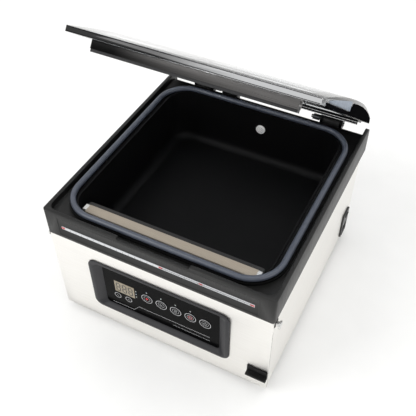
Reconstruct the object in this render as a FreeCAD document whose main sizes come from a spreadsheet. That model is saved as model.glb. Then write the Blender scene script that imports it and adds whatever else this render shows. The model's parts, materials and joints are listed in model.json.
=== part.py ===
import FreeCAD, Part
import Sketcher
import math
import os
from types import SimpleNamespace

# Tabletop chamber vacuum sealer.  Millimetres, +X right, +Y to the back, +Z up.
# The origin is the middle of the footprint, on the surface that the feet stand on.
# The lid is modelled open, at the angle where it is left while a bag is loaded.

doc = FreeCAD.newDocument("chamber_vacuum_sealer")

# ---------------------------------------------------------------- driving sizes
SIZES = {
    # moulded top frame
    "frame_width": 370.0, "frame_depth": 384.0, "frame_corner": 5.0,
    "body_height": 226.0, "foot_height": 12.0, "skirt_height": 50.0, "skirt_wall": 3.0,
    "rim_wall": 6.0, "rim_rise": 11.0, "deck_thickness": 3.0, "tray_corner": 13.0,
    "rim_ear": 11.0, "rim_end_round": 10.0, "scoop_width": 116.0, "scoop_depth": 6.0,
    "front_recess_width": 322.0, "front_recess_height": 34.0, "front_recess_depth": 0.8,
    "ruler_length": 310.0, "ruler_height": 5.0, "ruler_thickness": 0.6, "ruler_drop": 27.0,
    # vacuum chamber
    "chamber_width": 310.0, "chamber_depth": 330.0, "chamber_height": 100.0,
    "chamber_corner": 34.0, "floor_round": 14.0, "tub_wall": 2.0, "mouth_front": 25.0,
    "flange_thickness": 3.5, "bead_rise": 2.5, "flange_reach": 6.0,
    "gasket_radius": 4.5, "gasket_side": 12.5, "gasket_front": 6.7, "gasket_corner": 50.0,
    "port_offset": 8.0, "port_drop": 40.0, "port_radius": 8.0, "port_bore": 3.0,
    "barb_radius": 4.0, "barb_length": 12.0, "hose_radius": 6.0,
    # seal bar and its lift
    "bar_length": 288.0, "bar_width": 23.0, "bar_height": 24.0, "bar_front": 12.0,
    "bar_drop": 18.0, "tape_width": 14.5, "tape_thickness": 0.4, "band_width": 5.0,
    "band_thickness": 0.3, "lift_spacing": 180.0, "lift_body_radius": 10.0,
    "lift_rod_radius": 4.0, "lift_travel": 3.3,
    # lid
    "lid_width": 354.0, "lid_front": 16.0, "lid_gap": 1.8, "lid_edge": 8.0,
    "lid_crown": 25.0, "lid_crown_back": 110.0, "lid_wall": 8.0, "lid_angle": 38.5,
    "dome_side": 26.0, "dome_front": 46.0, "dome_back": 52.0,
    "hinge_behind": 12.0, "hinge_drop": 12.0, "tail_radius": 32.0, "tail_start_angle": 60.0,
    "trim_thickness": 3.0, "trim_band": 5.0, "trim_margin": 5.5, "trim_front": 24.0,
    "trim_step": 190.0,
    "counter_length": 290.0, "counter_width": 15.0, "counter_height": 12.0,
    "counter_wall": 1.6, "strip_width": 11.0, "strip_height": 4.0,
    "screw_radius": 2.0, "screw_head": 2.0, "screw_head_radius": 3.4, "counter_screw_depth": 5.0,
    "rail_screw_depth": 9.0,
    # lid hinge
    "post_spacing": 240.0, "post_width": 28.0, "post_radius": 8.5,
    "ear_thickness": 5.0, "ear_gap": 0.4, "pin_radius": 3.0, "pin_clearance": 0.05,
    "rail_length": 330.0, "rail_front": 26.0, "rail_thickness": 3.0,
    "switch_offset": -67.0, "switch_width": 30.0,
    # sheet metal body
    "sheet": 1.2, "body_inset": 3.2, "panel_lap": 14.0, "panel_flange": 14.0,
    "pan_thickness": 1.5, "pan_lip": 10.0, "foot_radius": 13.0, "foot_inset": 30.0,
    # front service panel
    "door_recess": 2.2, "door_thickness": 1.5, "door_gap": 1.8, "door_flange_top": 24.0,
    "door_flange_bottom": 10.0, "door_pivot_back": 12.0, "door_pivot_drop": 12.0,
    "pivot_radius": 3.0, "pivot_head_radius": 6.5, "pivot_ear": 7.8,
    "pull_width": 33.0, "pull_reach": 9.0,
    "pull_thickness": 5.0, "pull_height": 18.0, "pull_drop": 179.0,
    # control module
    "bezel_width": 240.0, "bezel_height": 112.0, "bezel_drop": 79.0, "bezel_corner": 14.0,
    "bezel_lip": 2.0, "bezel_side": 12.0, "recess_depth": 8.0,
    "fascia_thickness": 3.0,
    "button_radius": 8.8, "button_pitch": 25.0, "button_first": -23.0, "button_drop": 131.0,
    "arrow_radius": 5.0, "arrow_pitch": 20.0, "arrow_first": -78.0, "arrow_drop": 154.0,
    "button_clearance": 0.35, "button_proud": 0.8, "button_travel": 0.8,
    "button_flange": 1.2, "window_width": 36.0, "window_height": 26.0,
    "window_offset": -64.0, "window_drop": 132.0, "board_thickness": 1.6,
    # power entry on the right side
    "inlet_ahead": 32.0, "inlet_centre": 48.0, "inlet_width": 31.0, "inlet_height": 56.0,
    "inlet_flange": 3.0, "inlet_depth": 26.0, "rocker_width": 12.0, "rocker_length": 19.0,
    "rocker_throw": 14.0,
    # machinery
    "pump_length": 128.0, "pump_radius": 33.0, "motor_radius": 42.0, "motor_length": 96.0,
    "vent_count": 9.0, "vent_pitch": 9.0, "vent_width": 4.0, "vent_length": 70.0,
}


class Size:
    """A length with the sheet expression that drives it and its number today."""

    def __init__(self, text, number):
        self.text = text
        self.number = float(number)

    def __add__(self, other):
        other = sized(other)
        return Size(f"({self.text} + {other.text})", self.number + other.number)

    def __sub__(self, other):
        other = sized(other)
        return Size(f"({self.text} - {other.text})", self.number - other.number)

    def __mul__(self, other):
        other = sized(other)
        return Size(f"({self.text} * {other.text})", self.number * other.number)

    def __truediv__(self, other):
        other = sized(other)
        return Size(f"({self.text} / {other.text})", self.number / other.number)

    def __radd__(self, other):
        return sized(other) + self

    def __rsub__(self, other):
        return sized(other) - self

    def __rmul__(self, other):
        return sized(other) * self

    def __neg__(self):
        return sized(0) - self


def sized(value):
    return value if isinstance(value, Size) else Size(repr(float(value)), value)


def root(size):
    return Size(f"sqrt({size.text})", math.sqrt(size.number))


def make_sheet():
    sheet = doc.addObject("Spreadsheet::Sheet", "Sheet")
    for row, (alias, number) in enumerate(SIZES.items(), start=1):
        sheet.set(f"A{row}", alias.replace("_", " "))
        sheet.set(f"B{row}", str(number))
        sheet.setAlias(f"B{row}", alias)
    doc.recompute()
    return SimpleNamespace(**{alias: Size(f"Sheet.{alias}", number) for alias, number in SIZES.items()})


size = make_sheet()

# Places that several pieces share.
half_width = size.frame_width / 2
hinge_back = size.frame_depth + size.hinge_behind
front = -(hinge_back + size.tail_radius - size.pull_reach + size.door_recess) / 2
rear = front + size.frame_depth
rim_top = size.foot_height + size.body_height
deck_top = rim_top - size.rim_rise
skirt_bottom = rim_top - size.skirt_height
mouth_front = front + size.mouth_front
mouth_back = mouth_front + size.chamber_depth
gasket_seat = deck_top + size.flange_thickness
chamber_floor = gasket_seat + size.bead_rise - size.chamber_height
hinge_y = front + hinge_back
hinge_z = rim_top - size.hinge_drop
panel_out = half_width - size.body_inset
panel_in = panel_out - size.sheet
FACE_GAP = 0.3


# ---------------------------------------------------------------- building tools
def drive(thing, prop, value):
    """Binds one property to the sheet."""
    thing.setExpression(prop, sized(value).text)


def settle(thing, x=0, y=0, z=0):
    drive(thing, "Placement.Base.x", x)
    drive(thing, "Placement.Base.y", y)
    drive(thing, "Placement.Base.z", z)


def span(pair):
    low, high = pair
    return sized(high) - sized(low)


def box(kind, parent, x, y, z):
    """A box between two places on each axis, as a primitive or as a feature of a body."""
    piece = parent.newObject(kind, "Box") if parent else doc.addObject(kind, "Box")
    drive(piece, "Length", span(x))
    drive(piece, "Width", span(y))
    drive(piece, "Height", span(z))
    settle(piece, x[0], y[0], z[0])
    return piece


TURNS = {
    "x": FreeCAD.Rotation(FreeCAD.Vector(0, 1, 0), 90),
    "y": FreeCAD.Rotation(FreeCAD.Vector(1, 0, 0), -90),
    "z": FreeCAD.Rotation(),
}


def rod(kind, parent, axis, radius, reach, centre):
    """A cylinder along one axis between two places; centre gives its other two places."""
    piece = parent.newObject(kind, "Rod") if parent else doc.addObject(kind, "Rod")
    piece.Placement = FreeCAD.Placement(FreeCAD.Vector(), TURNS[axis])
    drive(piece, "Radius", radius)
    drive(piece, "Height", span(reach))
    start = {"x": (reach[0], centre[0], centre[1]), "y": (centre[0], reach[0], centre[1]),
             "z": (centre[0], centre[1], reach[0])}[axis]
    settle(piece, *start)
    return piece


def solid_box(x, y, z):
    return box("Part::Box", None, x, y, z)


def solid_rod(axis, radius, reach, centre):
    return rod("Part::Cylinder", None, axis, radius, reach, centre)


def add_box(body, x, y, z):
    return box("PartDesign::AdditiveBox", body, x, y, z)


def cut_box(body, x, y, z):
    return box("PartDesign::SubtractiveBox", body, x, y, z)


def add_rod(body, axis, radius, reach, centre):
    return rod("PartDesign::AdditiveCylinder", body, axis, radius, reach, centre)


def cut_rod(body, axis, radius, reach, centre):
    return rod("PartDesign::SubtractiveCylinder", body, axis, radius, reach, centre)


def new_body(name):
    body = doc.addObject("PartDesign::Body", name)
    body.Label = name
    return body


def merged(pieces):
    fuse = doc.addObject("Part::MultiFuse", "Merged")
    fuse.Shapes = pieces
    fuse.Refine = True
    return fuse


def drilled(base, tool):
    cut = doc.addObject("Part::Cut", "Drilled")
    cut.Base = base
    cut.Tool = tool
    return cut


def joined(name, pieces):
    """One solid sub-part made from overlapping or touching pieces."""
    return named(merged(pieces), name)


def grouped(name, pieces):
    """One sub-part made of separate solids."""
    group = doc.addObject("Part::Compound", name)
    group.Links = pieces
    return named(group, name)


def named(thing, name):
    thing.Label = name
    SUBPARTS[name] = thing
    return thing


SUBPARTS = {}
TOLERANCE = 0.01


def finish(body):
    """Marks a body as a finished sub-part."""
    return named(body, body.Label)


def near(a, b):
    return abs(a - sized(b).number) < TOLERANCE


def edges_along(feature, axis, test):
    """Names of the straight edges of a feature that run along an axis and pass a test of their middle."""
    doc.recompute()
    names = []
    for number, edge in enumerate(feature.Shape.Edges, start=1):
        if edge.Curve.TypeId != "Part::GeomLine":
            continue
        run = edge.Vertexes[-1].Point - edge.Vertexes[0].Point
        across = [abs(run.x), abs(run.y), abs(run.z)]
        along = across.pop("xyz".index(axis))
        if along > TOLERANCE and max(across) < TOLERANCE and test(edge.CenterOfMass):
            names.append(f"Edge{number}")
    return names


def rounded(body, axis, radius, test):
    """Rounds the edges of a body's last feature that run along an axis."""
    base = body.Tip
    names = edges_along(base, axis, test)
    if not names:
        raise RuntimeError(f"{body.Label}: no edge to round")
    fillet = body.newObject("PartDesign::Fillet", "Fillet")
    fillet.Base = (base, names)
    drive(fillet, "Radius", radius)
    doc.recompute()
    return fillet


def round_floor(body, radius, level):
    """Rounds every edge of a body's last feature that lies at one height."""
    base = body.Tip
    doc.recompute()
    names = [f"Edge{number}" for number, edge in enumerate(base.Shape.Edges, start=1)
             if near(edge.BoundBox.ZMin, level) and near(edge.BoundBox.ZMax, level)]
    fillet = body.newObject("PartDesign::Fillet", "Fillet")
    fillet.Base = (base, names)
    drive(fillet, "Radius", radius)
    doc.recompute()
    return fillet


def hollow_out(body, wall, level):
    """Shells a body inwards from its flat face at one height."""
    base = body.Tip
    doc.recompute()
    names = [f"Face{number}" for number, face in enumerate(base.Shape.Faces, start=1)
             if near(face.BoundBox.ZMin, level) and near(face.BoundBox.ZMax, level)]
    shell = body.newObject("PartDesign::Thickness", "Thickness")
    shell.Base = (base, names)
    shell.Reversed = True
    drive(shell, "Value", wall)
    doc.recompute()
    if not shell.Shape.Volume < base.Shape.Volume / 2:
        raise RuntimeError(f"{body.Label}: the shell did not hollow it")
    return shell


def pin_point(sketch, geometry, end, place, label):
    """Holds one end of a sketch line at a driven place."""
    for kind, value, letter in (("DistanceX", place[0], "x"), ("DistanceY", place[1], "y")):
        value = sized(value)
        if abs(value.number) < 1e-9:
            sketch.addConstraint(Sketcher.Constraint("PointOnObject", geometry, end,
                                                     -2 if letter == "x" else -1))
            continue
        if value.number > 0:
            index = sketch.addConstraint(Sketcher.Constraint(kind, -1, 1, geometry, end, value.number))
        else:
            value = -value
            index = sketch.addConstraint(Sketcher.Constraint(kind, geometry, end, -1, 1, value.number))
        name = f"{label}{letter}"
        sketch.renameConstraint(index, name)
        sketch.setExpression(f"Constraints.{name}", value.text)


def outline(body, plane, corners):
    """A closed sketch on one of a body's own planes.

    Each corner is (across, up) or (across, up, radius), where a radius makes the stretch to
    the next corner an arc that bulges to the left of its travel.
    """
    sketch = body.newObject("Sketcher::SketchObject", "Outline")
    origin = [f for f in body.Origin.OriginFeatures if f.Role == plane][0]
    sketch.AttachmentSupport = (origin, [""])
    sketch.MapMode = "FlatFace"
    count = len(corners)
    points = [FreeCAD.Vector(sized(c[0]).number, sized(c[1]).number, 0) for c in corners]
    ends = []
    for number, corner in enumerate(corners):
        start, stop = points[number], points[(number + 1) % count]
        if len(corner) == 3:
            radius = sized(corner[2]).number
            chord = stop - start
            middle = (start + stop) / 2
            left = FreeCAD.Vector(-chord.y, chord.x, 0).normalize()
            rise = radius - math.sqrt(radius ** 2 - (chord.Length / 2) ** 2)
            top = middle + left * rise
            arc = Part.Arc(start, top, stop)
            geometry = sketch.addGeometry(arc, False)
            swap = (sketch.getPoint(geometry, 1) - start).Length > TOLERANCE
            ends.append((2, 1) if swap else (1, 2))
            index = sketch.addConstraint(Sketcher.Constraint("Radius", geometry, radius))
            sketch.renameConstraint(index, f"radius{number}")
            sketch.setExpression(f"Constraints.radius{number}", sized(corner[2]).text)
        else:
            geometry = sketch.addGeometry(Part.LineSegment(start, stop), False)
            ends.append((1, 2))
    for number in range(count):
        after = (number + 1) % count
        sketch.addConstraint(Sketcher.Constraint("Coincident", number, ends[number][1],
                                                 after, ends[after][0]))
    for number, corner in enumerate(corners):
        pin_point(sketch, number, ends[number][0], corner, f"corner{number}")
    doc.recompute()
    return sketch


def pad(body, sketch, low, high):
    """Pads a sketch between two distances along its plane's normal."""
    sketch.AttachmentOffset = FreeCAD.Placement()
    drive(sketch, "AttachmentOffset.Base.z", low)
    feature = body.newObject("PartDesign::Pad", "Pad")
    feature.Profile = sketch
    drive(feature, "Length", sized(high) - sized(low))
    doc.recompute()
    return feature


def pocket(body, sketch, low, high):
    """Cuts a sketch's area out of a body between two distances along its plane's normal."""
    before = body.Tip.Shape.Volume
    drive(sketch, "AttachmentOffset.Base.z", high)
    feature = body.newObject("PartDesign::Pocket", "Pocket")
    feature.Profile = sketch
    drive(feature, "Length", sized(high) - sized(low))
    doc.recompute()
    if not body.Tip.Shape.Volume < before - 1:
        raise RuntimeError(f"{body.Label}: a pocket cut nothing")
    return feature


def rounded_rectangle(half, low, high, radius):
    """Corners, clockwise, of a rectangle about the middle line whose corners are arcs."""
    return [
        (-half, low + radius), (-half, high - radius, radius), (-half + radius, high),
        (half - radius, high, radius), (half, high - radius), (half, low + radius, radius),
        (half - radius, low), (-half + radius, low, radius),
    ]


# ---------------------------------------------------------------- top frame and chamber
def upper_frame():
    """Black moulded tray: a raised rim on three sides, a deck, and a skirt over the sheet metal."""
    body = new_body("upper_frame")
    ear_back = rear + size.rim_ear
    inner = half_width - size.rim_wall
    add_box(body, (-half_width, half_width), (front, ear_back), (skirt_bottom, rim_top))
    rounded(body, "z", size.frame_corner, lambda p: near(p.y, front))
    rounded(body, "x", size.rim_end_round, lambda p: near(p.y, ear_back) and near(p.z, rim_top))
    cut_box(body, (-inner, inner), (front + size.rim_wall, ear_back + 1), (deck_top, rim_top + 1))
    rounded(body, "z", size.tray_corner,
            lambda p: near(p.y, front + size.rim_wall) and near(abs(p.x), inner))
    cut_box(body, (-inner, inner), (rear, ear_back + 1), (skirt_bottom - 1, deck_top))
    hollow = half_width - size.skirt_wall
    cut_box(body, (-hollow, hollow), (front + size.skirt_wall, rear - size.skirt_wall),
            (skirt_bottom - 1, deck_top - size.deck_thickness))
    mouth = size.chamber_width / 2 + size.tub_wall + FACE_GAP
    mouth_low = mouth_front - size.tub_wall - FACE_GAP
    mouth_high = mouth_back + size.tub_wall + FACE_GAP
    cut_box(body, (-mouth, mouth), (mouth_low, mouth_high), (skirt_bottom, deck_top + 1))
    rounded(body, "z", size.chamber_corner + size.tub_wall,
            lambda p: near(abs(p.x), mouth) and (near(p.y, mouth_low) or near(p.y, mouth_high)))
    scoop = size.scoop_width / 2
    cut_box(body, (-scoop, scoop), (front - 1, front + size.rim_wall + 1),
            (rim_top - size.scoop_depth, rim_top + 1))
    rounded(body, "y", size.scoop_depth * 0.9,
            lambda p: near(abs(p.x), scoop) and near(p.z, rim_top - size.scoop_depth))
    recess = size.front_recess_width / 2
    recess_middle = rim_top - size.ruler_drop
    cut_box(body, (-recess, recess), (front - 1, front + size.front_recess_depth),
            (recess_middle - size.front_recess_height / 2, recess_middle + size.front_recess_height / 2))
    return finish(body)


def ruler_strip():
    half = size.ruler_length / 2
    face = front + size.front_recess_depth
    middle = rim_top - size.ruler_drop
    strip = solid_box((-half, half), (face - size.ruler_thickness, face),
                      (middle - size.ruler_height / 2, middle + size.ruler_height / 2))
    return named(strip, "ruler_strip")


def chamber_tub():
    """Deep-drawn tub with a flange that rests on the deck and a bead inside the gasket."""
    body = new_body("chamber_tub")
    outer = size.chamber_width / 2 + size.tub_wall
    low = mouth_front - size.tub_wall
    high = mouth_back + size.tub_wall
    bottom = chamber_floor - size.tub_wall
    lip = gasket_seat + size.bead_rise
    add_box(body, (-outer, outer), (low, high), (bottom, lip))
    rounded(body, "z", size.chamber_corner + size.tub_wall, lambda p: True)
    round_floor(body, size.floor_round + size.tub_wall, bottom)
    hollow_out(body, size.tub_wall, lip)
    reach_side = size.chamber_width / 2 + size.gasket_side + size.flange_reach
    reach_end = size.gasket_front + size.flange_reach
    add_box(body, (-reach_side, reach_side), (mouth_front - reach_end, mouth_back + reach_end),
            (deck_top, gasket_seat))
    rounded(body, "z", size.gasket_corner + size.flange_reach, lambda p: near(abs(p.x), reach_side))
    mouth = outline(body, "XY_Plane", rounded_rectangle(size.chamber_width / 2, mouth_front, mouth_back,
                                                        size.chamber_corner))
    pocket(body, mouth, deck_top - 1, lip)
    cut_rod(body, "y", size.port_bore + 2, (mouth_back - 1, mouth_back + size.tub_wall + 1),
            (size.port_offset, rim_top - size.port_drop))
    return finish(body)


def chamber_gasket():
    """Solid silicone cord laid round the mouth: four straight runs and four quarter turns."""
    across = size.chamber_width / 2 + size.gasket_side
    low = mouth_front - size.gasket_front
    high = mouth_back + size.gasket_front
    level = gasket_seat + size.gasket_radius
    turn = size.gasket_corner
    pieces = []
    for side in (-across, across):
        pieces.append(solid_rod("y", size.gasket_radius, (low + turn, high - turn), (side, level)))
    for end in (low, high):
        pieces.append(solid_rod("x", size.gasket_radius, (turn - across, across - turn), (end, level)))
    corners = ((across - turn, high - turn, 0), (turn - across, high - turn, 90),
               (turn - across, low + turn, 180), (across - turn, low + turn, 270))
    up = FreeCAD.Vector(0, 0, 1)
    for x, y, start in corners:
        quarter = doc.addObject("Part::Torus", "Turn")
        quarter.Placement = FreeCAD.Placement(FreeCAD.Vector(), FreeCAD.Rotation(up, start))
        quarter.Angle3 = 90
        drive(quarter, "Radius1", turn)
        drive(quarter, "Radius2", size.gasket_radius)
        settle(quarter, x, y, level)
        pieces.append(quarter)
    return joined("chamber_gasket", pieces)


PORT_BACK = mouth_back + size.tub_wall
PORT_LEVEL = rim_top - size.port_drop
PORT_DOWN = PORT_BACK + 7
BARB_TOP = PORT_LEVEL - 8
BARB_END = BARB_TOP - size.barb_length


def vacuum_port():
    """Suction port: a disc grille in the chamber and an elbow behind the wall with a hose barb."""
    body = new_body("vacuum_port")
    centre = (size.port_offset, PORT_LEVEL)
    add_rod(body, "y", size.port_radius, (mouth_back - 3, mouth_back), centre)
    add_rod(body, "y", size.port_bore + 2, (mouth_back, PORT_BACK), centre)
    add_box(body, (size.port_offset - 8, size.port_offset + 8), (PORT_BACK, PORT_BACK + 14),
            (PORT_LEVEL - 8, PORT_LEVEL + 8))
    add_rod(body, "z", size.barb_radius, (BARB_END, BARB_TOP), (size.port_offset, PORT_DOWN))
    cut_rod(body, "y", size.port_bore, (mouth_back - 4, PORT_DOWN), centre)
    cut_rod(body, "z", size.port_bore - 0.5, (BARB_END - 1, PORT_LEVEL), (size.port_offset, PORT_DOWN))
    return finish(body)


# ---------------------------------------------------------------- seal bar
BAR = SimpleNamespace(
    half=size.bar_length / 2,
    low=mouth_front + size.bar_front,
    high=mouth_front + size.bar_front + size.bar_width,
    top=rim_top - size.bar_drop - size.tape_thickness,
    bottom=rim_top - size.bar_drop - size.bar_height,
    tape_high=mouth_front + size.bar_front + size.tape_width,
)
BAR_RODS = [(side * size.lift_spacing / 2, (BAR.low + BAR.high) / 2) for side in (-1, 1)]


def seal_bar_base():
    """Heat-resistant bar with a ledge behind the tape and two blind sockets for the lift rods."""
    body = new_body("seal_bar_base")
    add_box(body, (-BAR.half, BAR.half), (BAR.low, BAR.high), (BAR.bottom, BAR.top))
    rounded(body, "z", 3, lambda p: True)
    cut_box(body, (-BAR.half - 1, BAR.half + 1), (BAR.tape_high, BAR.high + 1),
            (BAR.top - 3, BAR.top + 1))
    middle = (BAR.low + BAR.tape_high) / 2
    cut_box(body, (-BAR.half + 6, BAR.half - 6), (middle - size.band_width / 2, middle + size.band_width / 2),
            (BAR.top - size.band_thickness, BAR.top + 1))
    for x, y in BAR_RODS:
        cut_rod(body, "z", size.lift_rod_radius, (BAR.bottom - 1, BAR.bottom + 10), (x, y))
    return finish(body)


def heating_band():
    middle = (BAR.low + BAR.tape_high) / 2
    band = solid_box((-BAR.half + 6, BAR.half - 6),
                     (middle - size.band_width / 2, middle + size.band_width / 2),
                     (BAR.top - size.band_thickness, BAR.top))
    return named(band, "heating_band")


def seal_tape():
    """Woven non-stick tape over the band, turned down over the bar's front face."""
    inset = 6
    body = new_body("seal_tape")
    add_box(body, (-BAR.half + inset, BAR.half - inset), (BAR.low - size.tape_thickness, BAR.tape_high),
            (BAR.top, BAR.top + size.tape_thickness))
    add_box(body, (-BAR.half + inset, BAR.half - inset), (BAR.low - size.tape_thickness, BAR.low),
            (BAR.top - 12, BAR.top))
    return finish(body)


def seal_bar_clips():
    """Spring clips that hold the ends of the band and the tape."""
    clips = []
    for low, high in ((-BAR.half, -BAR.half + 6), (BAR.half - 6, BAR.half)):
        clips.append(solid_box((low, high), (BAR.low + 3, BAR.tape_high - 1), (BAR.top, BAR.top + 0.8)))
    return grouped("seal_bar_clips", clips)


LIFT_TOP = BAR.bottom - size.lift_travel - 6


def lift_rods():
    rods = [solid_rod("z", size.lift_rod_radius, (chamber_floor + 12, BAR.bottom + 10), centre)
            for centre in BAR_RODS]
    return grouped("lift_rods", rods)


def lift_cylinders():
    """Air cylinders that stand on the chamber floor; each has a blind bore for its rod."""
    cylinders = []
    for centre in BAR_RODS:
        barrel = solid_rod("z", size.lift_body_radius, (chamber_floor, LIFT_TOP), centre)
        bore = solid_rod("z", size.lift_rod_radius + size.pin_clearance,
                         (chamber_floor + 6, LIFT_TOP + 1), centre)
        cylinders.append(drilled(barrel, bore))
    return grouped("lift_cylinders", cylinders)


# ---------------------------------------------------------------- lid
# Lid pieces are drawn closed, about the hinge axis, then turned open together.
LID = SimpleNamespace(
    reach=hinge_back - size.lid_front,
    lift=size.hinge_drop + size.lid_gap,
    half=size.lid_width / 2 - size.trim_thickness,
)
LID.crown = LID.lift + size.lid_crown
LID.top_edge = LID.lift + size.lid_edge


def arc_radius(run, drop):
    return (run * run + drop * drop) / (2 * drop)


def cosine(angle):
    return Size(f"cos({angle.text})", math.cos(math.radians(angle.number)))


def sine(angle):
    return Size(f"sin({angle.text})", math.sin(math.radians(angle.number)))


LID.front_arc = arc_radius(LID.reach - size.lid_crown_back, size.lid_crown - size.lid_edge)
LID.tail_y = size.tail_radius * cosine(size.tail_start_angle)
LID.tail_z = size.tail_radius * sine(size.tail_start_angle)
LID.back_arc = arc_radius(size.lid_crown_back + LID.tail_y, LID.crown - LID.tail_z)


def lid_skin(inset, back):
    """Height of the lid's upper face, set in by an inset, at a distance in front of the hinge."""
    arc = LID.front_arc if back.number > size.lid_crown_back.number else LID.back_arc
    run = back - size.lid_crown_back
    return LID.crown - arc + root((arc - inset) * (arc - inset) - run * run)


def tilt(thing):
    """Places a lid piece on the hinge axis, opened."""
    thing.Placement = FreeCAD.Placement(FreeCAD.Vector(), FreeCAD.Rotation(FreeCAD.Vector(-1, 0, 0), 30))
    thing.setExpression("Placement.Rotation.Angle", size.lid_angle.text)
    settle(thing, 0, hinge_y, hinge_z)
    return thing


COUNTER_MIDDLE = (BAR.low + BAR.tape_high) / 2 - hinge_y
COUNTER_SCREWS = [x * size.counter_length / 2 for x in (-0.85, -0.3, 0.3, 0.85)]
RAIL_SCREWS = [x * size.rail_length / 2 for x in (-0.92, -0.45, -0.15, 0.15, 0.45, 0.92)]
RAIL_SCREW_BACK = -16


def lid_panel():
    """Thick clear moulding: a flat sealing rim below, an arched top, and a hollow over the chamber."""
    body = new_body("lid_panel")
    tail_end = root(size.tail_radius * size.tail_radius - LID.lift * LID.lift)
    side = outline(body, "YZ_Plane", [
        (-LID.reach, LID.lift), (-LID.reach, LID.top_edge, LID.front_arc),
        (-size.lid_crown_back, LID.crown, LID.back_arc), (LID.tail_y, LID.tail_z, size.tail_radius),
        (tail_end, LID.lift),
    ])
    pad(body, side, -LID.half, LID.half)
    hollow_front = LID.reach - size.dome_front
    hollow_half = LID.half - size.dome_side
    hollow = outline(body, "YZ_Plane", [
        (-hollow_front, LID.lift - 1),
        (-hollow_front, lid_skin(size.lid_wall, hollow_front), LID.front_arc - size.lid_wall),
        (-size.lid_crown_back, LID.crown - size.lid_wall, LID.back_arc - size.lid_wall),
        (-size.dome_back, lid_skin(size.lid_wall, size.dome_back)),
        (-size.dome_back, LID.lift - 1),
    ])
    pocket(body, hollow, -hollow_half, hollow_half)
    for x in COUNTER_SCREWS:
        cut_rod(body, "z", size.screw_radius, (LID.lift - 1, LID.lift + size.counter_screw_depth),
                (x, COUNTER_MIDDLE))
    for x in RAIL_SCREWS:
        cut_rod(body, "z", size.screw_radius, (LID.lift - 1, LID.lift + size.rail_screw_depth),
                (x, RAIL_SCREW_BACK))
    return tilt(finish(body))


def lid_trim(name, low, high):
    """Black side plate: a low band along the front half that steps up to follow the arch."""
    body = new_body(name)
    inset = size.trim_margin
    tail = size.tail_radius - inset
    step = size.trim_step - 16
    plate = outline(body, "YZ_Plane", [
        (-LID.reach + size.trim_front, LID.lift),
        (-LID.reach + size.trim_front, LID.lift + size.trim_band),
        (-size.trim_step, LID.lift + size.trim_band),
        (-step, lid_skin(inset, step), LID.front_arc - inset),
        (-size.lid_crown_back, LID.crown - inset, LID.back_arc - inset),
        (tail * cosine(size.tail_start_angle), tail * sine(size.tail_start_angle), tail),
        (root(tail * tail - LID.lift * LID.lift), LID.lift),
    ])
    pad(body, plate, low, high)
    return tilt(finish(body))


def lid_trims():
    outer = size.lid_width / 2
    return lid_trim("lid_trim_left", -outer, -LID.half), lid_trim("lid_trim_right", LID.half, outer)


def counter_bar():
    """Aluminium extrusion under the lid: a screw chamber above an open channel for the strip."""
    body = new_body("counter_bar")
    half = size.counter_length / 2
    low = COUNTER_MIDDLE - size.counter_width / 2
    high = COUNTER_MIDDLE + size.counter_width / 2
    bottom = LID.lift - size.counter_height
    wall = size.counter_wall
    add_box(body, (-half, half), (low, high), (bottom, LID.lift))
    cut_box(body, (-half - 1, half + 1), (low + wall, high - wall), (LID.lift - wall - 4.2, LID.lift - wall))
    cut_box(body, (-half - 1, half + 1),
            (COUNTER_MIDDLE - size.strip_width / 2, COUNTER_MIDDLE + size.strip_width / 2),
            (bottom - 1, bottom + size.strip_height))
    for x in COUNTER_SCREWS:
        cut_rod(body, "z", size.screw_radius, (LID.lift - wall - 1, LID.lift + 1), (x, COUNTER_MIDDLE))
    return tilt(finish(body))


def counter_strip():
    half = size.counter_length / 2
    bottom = LID.lift - size.counter_height
    body = new_body("counter_strip")
    add_box(body, (-half, half),
            (COUNTER_MIDDLE - size.strip_width / 2, COUNTER_MIDDLE + size.strip_width / 2),
            (bottom - size.strip_height, bottom + size.strip_height))
    return tilt(finish(body))


def screws(name, axis, places, shank, level, direction):
    """Separate, identical screws; level is the seat of the heads, direction points along the shanks."""
    ends = (level, level + shank) if direction > 0 else (level - shank, level)
    cap = (level - size.screw_head, level) if direction > 0 else (level, level + size.screw_head)
    return grouped(name, [merged([solid_rod(axis, size.screw_radius, ends, place),
                                  solid_rod(axis, size.screw_head_radius, cap, place)])
                          for place in places])


def lid_screws():
    counter = screws("counter_bar_screws", "z", [(x, COUNTER_MIDDLE) for x in COUNTER_SCREWS],
                     size.counter_screw_depth + size.counter_wall, LID.lift - size.counter_wall, 1)
    rail = screws("hinge_rail_screws", "z", [(x, RAIL_SCREW_BACK) for x in RAIL_SCREWS],
                  size.rail_screw_depth + size.rail_thickness, LID.lift - size.rail_thickness, 1)
    return tilt(counter), tilt(rail)


POSTS = [-size.post_spacing / 2, size.post_spacing / 2]
EAR_IN = size.post_width / 2 + size.ear_gap
EAR_OUT = EAR_IN + size.ear_thickness


def hinge_rail():
    """Aluminium angle under the back of the lid, with two ears round each hinge post."""
    body = new_body("hinge_rail")
    half = size.rail_length / 2
    under = LID.lift - size.rail_thickness
    add_box(body, (-half, half), (-size.rail_front, 12), (under, LID.lift))
    add_box(body, (-half, half), (-size.rail_front, size.rail_thickness - size.rail_front),
            (under - 5, under))
    for post in POSTS:
        for low, high in ((post - EAR_OUT, post - EAR_IN), (post + EAR_IN, post + EAR_OUT)):
            add_box(body, (low, high), (-size.post_radius, size.post_radius), (0, under))
            add_rod(body, "x", size.post_radius, (low, high), (0, 0))
        cut_rod(body, "x", size.pin_radius, (post - EAR_OUT - 1, post + EAR_OUT + 1), (0, 0))
    for x in RAIL_SCREWS:
        cut_rod(body, "z", size.screw_radius, (under - 1, LID.lift + 1), (x, RAIL_SCREW_BACK))
    return tilt(finish(body))


SPRING_LENGTH = 15


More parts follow.
